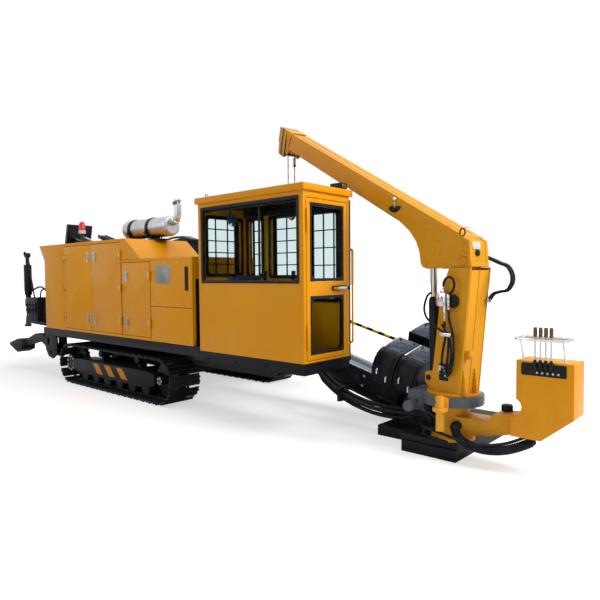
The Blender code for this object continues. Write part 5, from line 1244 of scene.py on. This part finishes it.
def column_hoses():
    """The hoses down the column's near side, with their clip."""
    routes = [
        [(-0.048, 0.178, 1.19), (-0.055, 0.185, 1.13), (-0.069, 0.19, 1.07), (-0.050, 0.19, 0.98),
         (-0.030, 0.185, 0.90), (-0.014, 0.172, 0.83), (-0.010, 0.160, 0.800)],
        [(-0.099, 0.190, 1.29), (-0.115, 0.198, 1.20), (-0.150, 0.200, 1.10), (-0.160, 0.195, 0.96),
         (-0.145, 0.188, 0.86), (-0.110, 0.176, 0.76), (-0.060, 0.160, 0.716)],
        [(-0.030, 0.188, 1.16), (-0.075, 0.198, 1.11), (-0.108, 0.200, 1.06), (-0.104, 0.198, 0.95),
         (-0.085, 0.188, 0.85), (-0.055, 0.168, 0.77), (-0.044, 0.160, 0.757)],
        [(-0.028, 0.170, 1.485), (-0.036, 0.172, 1.525), (-0.075, 0.178, 1.563), (-0.128, 0.182, 1.558),
         (-0.155, 0.186, 1.505), (-0.138, 0.190, 1.45), (-0.105, 0.195, 1.42)],
        [(0.150, 0.120, 1.43), (0.163, 0.158, 1.395), (0.184, 0.170, 1.30), (0.150, 0.185, 1.22),
         (0.06, 0.198, 1.155), (-0.05, 0.212, 1.108), (-0.118, 0.214, 1.07), (-0.135, 0.206, 1.00),
         (-0.135, 0.198, 0.90), (-0.095, 0.180, 0.79), (-0.052, 0.164, 0.735)],
    ]
    hoses = Solid(CRANE_PLACE)
    hoses.hoses(routes, 0.0105, 6)
    piece(hoses, "crane_side_hoses", "rubber", "crane")
    clip = Solid(COLUMN_FACE)
    clip.box((-0.145, -0.028), (0.035, 0.090), (1.068, 1.096))
    clip.box((-0.060, -0.036), (0.0, 0.036), (1.072, 1.092))
    for a in (-0.128, -0.085, -0.045):
        clip.rod((a, 0.088, 1.082), (a, 0.098, 1.082), 0.007, 6)
    piece(clip, "hose_clip", "bright", "crane", 0.002)


def column_seams():
    """The lug on the column's back, and the weld lines along its edges."""
    lug = Solid(CRANE_PLACE)
    back = column_back(0.94)
    lug.box((back - 0.045, back + 0.01), (0.068, 0.108), (0.895, 0.948))
    lug.box((back - 0.030, back + 0.01), (0.074, 0.102), (0.876, 0.900))
    piece(lug, "column_lug", "crane_yellow", "crane", 0.003)
    lines = Solid(CRANE_PLACE)
    for b, size in ((0.012, 0.0022), (0.1225, 0.003), (-0.1225, 0.003)):
        lines.sweep([(column_back(z) - 0.0005, b, z) for z in (0.575, 1.1, 1.63)], size, 6)
    for b in (-0.1365, 0.1365):
        lines.sweep([(0.149, b, 0.575), (0.105, b, 0.80), (0.03, b, 1.40), (-0.061, b, 1.64)], 0.002, 6)
    piece(lines, "column_weld_lines", "crane_yellow", "crane")


def jib_details():
    """Weld beads, angle gauge, pin caps, lifting ring, heel and top seams of the jib."""
    side = JIB_HALF
    beads = Solid(CRANE_PLACE)
    for b in (-side - 0.0005, side + 0.0005):
        for path in (
            [(0.476, 2.127), (0.20, 2.054), (-0.079, 1.990)],
            [(0.314, 2.013), (0.05, 1.968), (-0.110, 1.938), (-0.140, 1.905)],
            [(0.314, 2.013), (0.10, 1.896), (-0.080, 1.795), (-0.096, 1.785)],
        ):
            beads.sweep([(a, b, z) for a, z in path], 0.0028, 6)
    piece(beads, "jib_weld_beads", "yellow", "jib")
    jib_angle_gauge()
    pins = Solid(CRANE_PLACE)
    for a, z, radius in ((0.225, 1.69, 0.032), (-0.186, 1.871, 0.034), (-0.197, 1.753, 0.022)):
        for b in (-1, 1):
            low, high = sorted((b * side, b * (side + 0.007)))
            pins.rod((a, low, z), (a, high, z), radius, 26)
            pins.rod((a, b * (side + 0.006), z), (a, b * (side + 0.012), z), radius * 0.35, 6)
    for a, z in ((0.06, 1.765), (0.07, 1.705)):
        pins.rod((a, side - 0.002, z), (a, side + 0.004, z), 0.010, 12)
    piece(pins, "jib_pin_caps", "crane_yellow", "jib", 0.001)
    eye = Solid(CRANE_PLACE)
    eye.sweep([(-0.178 + 0.026 * c, 0.112, 1.940 + 0.032 * s) for c, s in circle(22)], 0.0065, 8, True)
    piece(eye, "heel_lifting_rings", "shoe", "jib")
    heel_details()
    strip = Solid(CRANE_PLACE)
    for b in (-0.055, 0.055):
        strip.sweep([(a, b, jib_at(a, -0.001)) for a in (-0.15, 1.0, 2.20)], 0.0025, 6)
    piece(strip, "jib_top_seams", "crane_yellow", "jib")


def jib_angle_gauge():
    """The fan-shaped angle plate on the jib's near side, with its hub and pointer."""
    a, z = 0.588, 2.262
    turns = [math.radians(degrees) for degrees in range(205, 340, 12)]
    fan = [(a + 0.092 * math.cos(t), z + 0.086 * math.sin(t)) for t in turns]
    turns = [math.radians(degrees) for degrees in range(336, 204, -22)]
    fan += [(a + 0.034 * math.cos(t), z + 0.034 * math.sin(t)) for t in turns]
    dial = Solid(CRANE_PLACE)
    dial.prism(fan, 0.1222, 0.1250, "Y")
    piece(dial, "jib_angle_plate", "gasket", "jib", 0.001)
    hub = Solid(CRANE_PLACE)
    hub.rod((a - 0.006, 0.121, z + 0.036), (a - 0.006, 0.142, z + 0.036), 0.020, 20)
    hub.rod((a - 0.006, 0.142, z + 0.036), (a - 0.006, 0.150, z + 0.036), 0.012, 6)
    hub.sweep([(a - 0.002, 0.128, z + 0.032 + d) for d in (0.0, -0.075)], [0.006, 0.003], 6)
    piece(hub, "jib_angle_hub", "bright", "jib", 0.001)


def heel_back(z):
    """The sloping back face of the jib's heel."""
    return -0.2698 + 0.015 / 0.216 * (z - 1.649)


def heel_details():
    """Bare plate, boss, cover screws and lower lip on the heel's back."""
    plate = Solid(CRANE_PLACE)
    edges = [(heel_back(z) - depth, z)
             for z, depth in ((1.797, 0.0006), (1.858, 0.0006), (1.858, 0.003), (1.797, 0.003))]
    plate.prism(edges, -0.020, 0.088, "Y")
    piece(plate, "heel_bare_plate", "plate_white", "jib", 0.0006)
    boss = Solid(CRANE_PLACE)
    b, z = 0.023, 1.766
    back = heel_back(z)
    boss.rod((back + 0.004, b, z), (back - 0.010, b, z), 0.026, 24)
    boss.rod((back - 0.008, b, z), (back - 0.014, b, z), 0.014, 6)
    piece(boss, "heel_boss", "shoe", "jib", 0.001)
    turn = CRANE_PLACE.to_3x3() @ facing((-1, 0, 0))
    screws = [(CRANE_PLACE @ Vector((heel_back(z) + 0.002, b, z)), turn)
              for b, z in ((0.088, 1.878), (-0.062, 1.880), (0.088, 1.718), (-0.062, 1.708))]
    scatter("heel_cover_screws", screws, dome_screw(), 0.006, "steel", "jib")
    lip = Solid(CRANE_PLACE)
    lip.prism([(-0.2695, 1.650), (-0.2735, 1.656), (-0.2715, 1.690), (-0.2650, 1.690)], -0.121, 0.121, "Y")
    piece(lip, "heel_lower_lip", "crane_yellow", "jib", 0.001)


def crane_back_hose():
    """The pair of hoses that loops out behind the column's head on its far side."""
    solid, ends = Solid(CRANE_PLACE), Solid(CRANE_PLACE)
    for b in (-0.155, -0.182):
        route = [(-0.215, b, 1.735), (-0.275, b, 1.712), (-0.345, b, 1.682), (-0.420, b, 1.652),
                 (-0.462, b, 1.585),
                 (-0.462, b, 1.515), (-0.420, b, 1.455), (-0.35, b, 1.440), (-0.30, b + 0.02, 1.420),
                 (-0.272, b + 0.04, 1.370)]
        solid.hoses([route], 0.013, 6)
        ends.rod((-0.185, b, 1.750), (-0.222, b, 1.732), 0.016, 6)
        ends.rod((-0.270, b + 0.042, 1.385), (-0.266, b + 0.045, 1.345), 0.015, 6)
    ends.rod((-0.19, -0.140, 1.70), (-0.19, -0.19, 1.70), 0.018, 14)
    ends.box((-0.205, -0.175), (-0.196, -0.146), (1.70, 1.762))
    piece(solid, "column_back_hoses", "rubber", "crane")
    piece(ends, "column_hose_ends", "steel", "crane", 0.001)


# Console


def console_details():
    """Panel, studs, levers, screws, and the bung and weld plate of its arm."""
    y0 = CONSOLE_Y
    panel = Solid(ON_MACHINE)
    panel.prism(rounded((5.381, 5.714), (0.807, 0.904), 0.012), y0 - 0.0022, y0 - 0.0003, "Y")
    piece(panel, "console_dark_panel", "gasket", "boom")
    knobs = Solid(ON_MACHINE)
    for i in range(5):
        x = 5.507 + i * 0.0385
        knobs.rod((x, y0 - 0.001, 0.836), (x, y0 - 0.014, 0.836), 0.007, 12)
        knobs.rod((x, y0 - 0.012, 0.836), (x, y0 - 0.022, 0.836), 0.010, 14, 0.008)
    piece(knobs, "console_studs", "steel", "boom")
    boots, grips = Solid(ON_MACHINE), Solid(ON_MACHINE)
    for i in range(4):
        x = 5.489 + i * 0.0393
        y = y0 - 0.014
        boots.rod((x, y, 0.868), (x, y, 0.905), 0.0165, 16)
        boots.rod((x, y, 0.905), (x, y, 0.935), 0.0165, 16, 0.0095)
        boots.rod((x, y0 - 0.002, 0.868), (x, y0 - 0.012, 0.868), 0.0175, 16)
        grips.sweep([(x, y, z) for z in (1.108, 1.116, 1.145, 1.172, 1.1835)],
                    [0.0115, 0.0142, 0.0152, 0.0150, 0.0125], 16)
    piece(boots, "lever_boots", "gasket", "boom", 0.001)
    piece(grips, "lever_grips", "grip", "boom")
    screws = [(at(FRONT_X, y, z), facing((1, 0, 0))) for z in (0.86, 0.60) for y in (-0.61, -0.43)]
    scatter("console_screws", screws, dome_screw(), 0.006, "steel", "boom")
    bung = Solid(ON_MACHINE)
    bung.rod((5.20, -0.455, 0.452), (5.20, -0.455, 0.500), 0.046, 26)
    bung.rod((5.20, -0.455, 0.50), (5.20, -0.455, 0.506), 0.040, 26)
    piece(bung, "arm_bung", "gasket", "boom", 0.003)
    seam = Solid(ON_MACHINE)
    seam.prism([(5.292, 0.298), (5.312, 0.298), (5.312, 0.462), (5.292, 0.462)],
               y0 + 0.037, y0 + 0.041, "Y")
    piece(seam, "arm_weld_plate", "crane_yellow", "boom", 0.001)


def ribbed_hose():
    """The corrugated hose from the pedestal to the console, one ridge every 14 mm."""
    side = -0.6103
    inner = [(4.89, side - 0.088, 0.222), (4.99, side - 0.085, 0.175), (5.12, side - 0.07, 0.160),
             (5.28, side - 0.04, 0.188), (5.42, -0.575, 0.25)]
    path = [(4.835, side, 0.30), (4.835, side - 0.030, 0.30), (4.835, side - 0.056, 0.290), *inner,
            (5.43, -0.565, 0.283), (5.43, -0.565, 0.3047)]
    line = spline(path, 24)
    steps = [0.0]
    for a, b in zip(line, line[1:]):
        steps.append(steps[-1] + (b - a).length)
    count = int(steps[-1] / 0.0035)
    points, radii = [], []
    index = 0
    for i in range(count + 1):
        want = steps[-1] * i / count
        while index < len(steps) - 2 and steps[index + 1] < want:
            index += 1
        span = steps[index + 1] - steps[index]
        share = (want - steps[index]) / span if span else 0.0
        points.append(at(*(line[index] + (line[index + 1] - line[index]) * share)))
        radii.append(CONSOLE_HOSE - (0.0, 0.0022, 0.0055, 0.0022)[i % 4])
    solid = Solid()
    solid.sweep(points, radii, 18)
    piece(solid, "ribbed_console_hose", "rubber", "boom", 0.0, ["console_hose"])


def front_hoses():
    """Two thin hoses that run from the boom's hoses past the pedestal."""
    solid = Solid(ON_MACHINE)
    solid.hoses([
        [(4.30, -0.30, 0.158), (4.36, -0.40, 0.19), (4.50, -0.62, 0.235), (4.66, -0.72, 0.25),
         (4.86, -0.745, 0.225), (5.05, -0.725, 0.20), (5.25, -0.66, 0.232), (5.40, -0.60, 0.30)],
        [(4.33, -0.26, 0.155), (4.40, -0.40, 0.16), (4.50, -0.60, 0.165), (4.60, -0.665, 0.17),
         (4.72, -0.67, 0.16), (4.80, -0.64, 0.155)],
    ], 0.012, 7)
    piece(solid, "front_hoses", "rubber", "boom")


def under_shields():
    """Dark plates behind the tracks' upper runs."""
    shields = Solid(ON_MACHINE)
    for side in (-1, 1):
        shields.box((-1.80, 1.30), sorted((side * 0.330, side * 0.322)), (0.44, 0.79))
    piece(shields, "under_shields", "black", "chassis", 0.002)


def ring_details():
    """Plugs round the slewing ring, and bolts round the foot."""
    spots = []
    for i, (c, s) in enumerate(circle(26)):
        if 2.2 < 2 * math.pi * i / 26 < 4.5:
            continue
        out = Vector((c, s, 0))
        spots.append((at(CRANE_X + 0.2645 * c, CRANE_Y + 0.2645 * s, 0.500), facing(out)))
    scatter("slew_ring_plugs", spots, dome_screw(), 0.008, "dark_grey", "boom")
    foot = [(at(CRANE_X + 0.170 * c, CRANE_Y + 0.170 * s, 0.175), Matrix.Identity(3)) for c,
            s in circle(8, 0.5)]
    scatter("pedestal_bolts", foot, hex_bolt(), 0.011, "steel", "boom")


# Rear


def rear_details():
    """Hoses, valves and bolts behind the hood, and bolts along the deck."""
    hoses = Solid(ON_MACHINE)
    hoses.hoses([
        [(-2.99, -0.95, 1.90), (-3.03, -0.98, 1.98), (-2.96, -1.00, 2.02), (-2.86, -0.99, 1.90),
         (-2.80, -0.98, 1.60), (-2.74, -0.95, 1.24)],
        [(-2.99, -0.90, 1.34), (-2.93, -0.84, 1.40), (-2.80, -0.80, 1.42), (-2.66, -0.78, 1.34),
         (-2.60, -0.76, 1.24)],
        [(-2.45, -0.98, 1.24), (-2.40, -0.98, 1.36), (-2.25, -0.96, 1.40), (-2.05, -0.92, 1.34),
         (-1.90, -0.88, 1.25), (-1.872, -0.86, 1.20)],
        [(-2.55, -0.64, 1.24), (-2.50, -0.62, 1.38), (-2.28, -0.62, 1.44), (-2.05, -0.66, 1.38),
         (-1.90, -0.70, 1.30), (-1.872, -0.72, 1.26)],
    ], 0.0135, 7)
    piece(hoses, "rear_hoses", "rubber", "chassis")
    valves = Solid(ON_MACHINE)
    for i in range(4):
        x = -2.74 + i * 0.10
        valves.box((x - 0.035, x + 0.035), (-1.085, -1.068), (0.98, 1.18))
        for z in (1.13, 1.04):
            valves.rod((x, -1.085, z), (x, -1.105, z), 0.014, 6)
    piece(valves, "rear_valves", "gloss_black", "chassis", 0.003)
    studs = [(at(-3.41 + 0.048 * c, -0.80 + 0.048 * s, 0.745), Matrix.Identity(3)) for c, s in circle(8)]
    scatter("outlet_bolts", studs, hex_bolt(), 0.006, "steel", "chassis")
    bolts = [(at(x, side * 1.115, z), facing((0, side, 0)))
             for side in (-1, 1) for x, z in ((-1.93, 0.74), (-1.68, 0.74), (-1.64, 0.45))]
    bolts += [(at(x, -SIDE_Y, 0.686), facing((0, -1, 0))) for x in (2.15, 2.6, 3.05, 3.45)]
    scatter("deck_bolts", bolts, hex_bolt(), 0.011, "black", "chassis")


# Camera, light and floor


SENSOR_MM = 36.0
PICTURE_PIXELS = 600.0
FOCAL_PIXELS = 550.84
CAMERA_AT = (6.93, -4.98, 1.6)
CAMERA_TURNS = (41.646, 2.6576, -0.5048)    # yaw, pitch and roll in degrees
AMBIENT = 0.33
LIGHTS = (
    # name, place, target, size, power, colour
    ("key", (9.5, 0.5, 7.0), (1.5, -0.3, 1.2), 4.0, 760.0, (1.0, 0.98, 0.95)),
    ("side_fill", (-3.5, -8.0, 5.0), (-0.5, -0.6, 1.2), 6.0, 100.0, (1.0, 1.0, 1.0)),
    ("top", (0.0, 0.0, 9.0), (0.0, 0.0, 0.0), 7.0, 260.0, (1.0, 1.0, 1.0)),
)
FLOOR_GLOW = 0.30           # share of glow near the machine
FLOOR_LIFT = 1.9
FLOOR_REACH = (6.3, 3.6)    # half axes of the oval in which the floor takes shadow
FLOOR_FADE = (0.8, 1.45)


def camera():
    """The photo's camera."""
    yaw, pitch, roll = (math.radians(a) for a in CAMERA_TURNS)
    forward = Vector((-math.sin(yaw), math.cos(yaw), 0))
    right = Vector((math.cos(yaw), math.sin(yaw), 0))
    up = Vector((0, 0, 1))
    look = forward * math.cos(pitch) - up * math.sin(pitch)
    top = up * math.cos(pitch) + forward * math.sin(pitch)
    x = right * math.cos(roll) + top * math.sin(roll)
    y = top * math.cos(roll) - right * math.sin(roll)
    data = bpy.data.cameras.new("camera")
    data.sensor_width = SENSOR_MM
    data.lens = SENSOR_MM * FOCAL_PIXELS / PICTURE_PIXELS
    data.clip_end = 200.0
    obj = bpy.data.objects.new("camera", data)
    bpy.context.scene.collection.objects.link(obj)
    obj.matrix_world = Matrix.Translation(at(*CAMERA_AT)) @ Matrix((x, y, -look)).transposed().to_4x4()
    bpy.context.scene.camera = obj


def area_light(name, place, target, size, power, colour):
    data = bpy.data.lights.new(name, "AREA")
    data.size = size
    data.energy = power
    data.color = colour
    obj = bpy.data.objects.new(name, data)
    bpy.context.scene.collection.objects.link(obj)
    aim = Vector(target) - Vector(place)
    obj.matrix_world = Matrix.Translation(place) @ aim.to_track_quat("-Z", "Y").to_matrix().to_4x4()


def studio():
    """White background, soft lights and floor."""
    bpy.context.scene.view_settings.view_transform = "Standard"
    bpy.context.scene.view_settings.look = "None"
    white_world()
    for row in LIGHTS:
        area_light(*row)
    studio_floor()


def white_world():
    """A white background, which lights matt faces less than it shows."""
    world = bpy.data.worlds.new("studio")
    bpy.context.scene.world = world
    world.use_nodes = True
    nodes, links = world.node_tree.nodes, world.node_tree.links
    back, seen = nodes["Background"], nodes.new("ShaderNodeBackground")
    for shader, strength in ((back, AMBIENT), (seen, 1.0)):
        shader.inputs["Color"].default_value = (1.0, 1.0, 1.0, 1.0)
        shader.inputs["Strength"].default_value = strength
    path, mix = nodes.new("ShaderNodeLightPath"), nodes.new("ShaderNodeMixShader")
    clear = path.outputs["Is Camera Ray"]
    for ray in ("Is Glossy Ray", "Is Transmission Ray"):
        either = nodes.new("ShaderNodeMath")
        either.operation = "MAXIMUM"
        links.new(clear, either.inputs[0])
        links.new(path.outputs[ray], either.inputs[1])
        clear = either.outputs[0]
    links.new(clear, mix.inputs[0])
    links.new(back.outputs[0], mix.inputs[1])
    links.new(seen.outputs[0], mix.inputs[2])
    links.new(mix.outputs[0], nodes["World Output"].inputs["Surface"])


def studio_floor():
    """A pale floor that takes soft shadow near the machine and fades to white further out."""
    floor = Solid()
    floor.box((-60, 60), (-60, 60), (-0.02, 0.0))
    obj = floor.object("studio_floor")
    mat = bpy.data.materials.new("studio_floor")
    mat.use_nodes = True
    nodes, links = mat.node_tree.nodes, mat.node_tree.links
    matt = nodes["Principled BSDF"]
    for socket, value in (("Base Color", (0.95, 0.95, 0.96, 1.0)), ("Roughness", 0.9),
                          ("Specular IOR Level", 0.0)):
        matt.inputs[socket].default_value = value
    place = nodes.new("ShaderNodeTexCoord")
    squash = nodes.new("ShaderNodeMapping")
    squash.inputs["Scale"].default_value = (1 / FLOOR_REACH[0], 1 / FLOOR_REACH[1], 0.0)
    length = nodes.new("ShaderNodeVectorMath")
    length.operation = "LENGTH"
    fade = nodes.new("ShaderNodeMapRange")
    fade.interpolation_type = "SMOOTHSTEP"
    for socket, value in zip(("From Min", "From Max", "To Min", "To Max"), (*FLOOR_FADE, FLOOR_GLOW, 1.0)):
        fade.inputs[socket].default_value = value
    links.new(place.outputs["Object"], squash.inputs["Vector"])
    links.new(squash.outputs["Vector"], length.inputs[0])
    links.new(length.outputs["Value"], fade.inputs["Value"])
    glow, path = nodes.new("ShaderNodeEmission"), nodes.new("ShaderNodeLightPath")
    mix, share = nodes.new("ShaderNodeMixShader"), nodes.new("ShaderNodeMath")
    glow.inputs["Color"].default_value = (1.0, 1.0, 1.0, 1.0)
    glow.inputs["Strength"].default_value = FLOOR_LIFT
    share.operation = "MULTIPLY"
    links.new(path.outputs["Is Camera Ray"], share.inputs[0])
    links.new(fade.outputs["Result"], share.inputs[1])
    links.new(share.outputs[0], mix.inputs[0])
    links.new(matt.outputs[0], mix.inputs[1])
    links.new(glow.outputs[0], mix.inputs[2])
    links.new(mix.outputs[0], nodes["Material Output"].inputs["Surface"])
    obj.data.materials.append(mat)


def dress():
    """Everything that is added, in order."""
    camera()
    make_looks()
    finish_nodes()
    tracks()
    hood_details()
    far_side_vents()
    exhaust()
    cab_details()
    cab_inside()
    give(NODES["operator_seat"], "seat")
    soften(NODES["operator_seat"], 0.015)
    boom_details()
    head_details()
    vise_details()
    crane_details()
    jib_details()
    crane_back_hose()
    console_details()
    ribbed_hose()
    front_hoses()
    ring_details()
    rear_details()
    under_shields()
    studio()


dress()
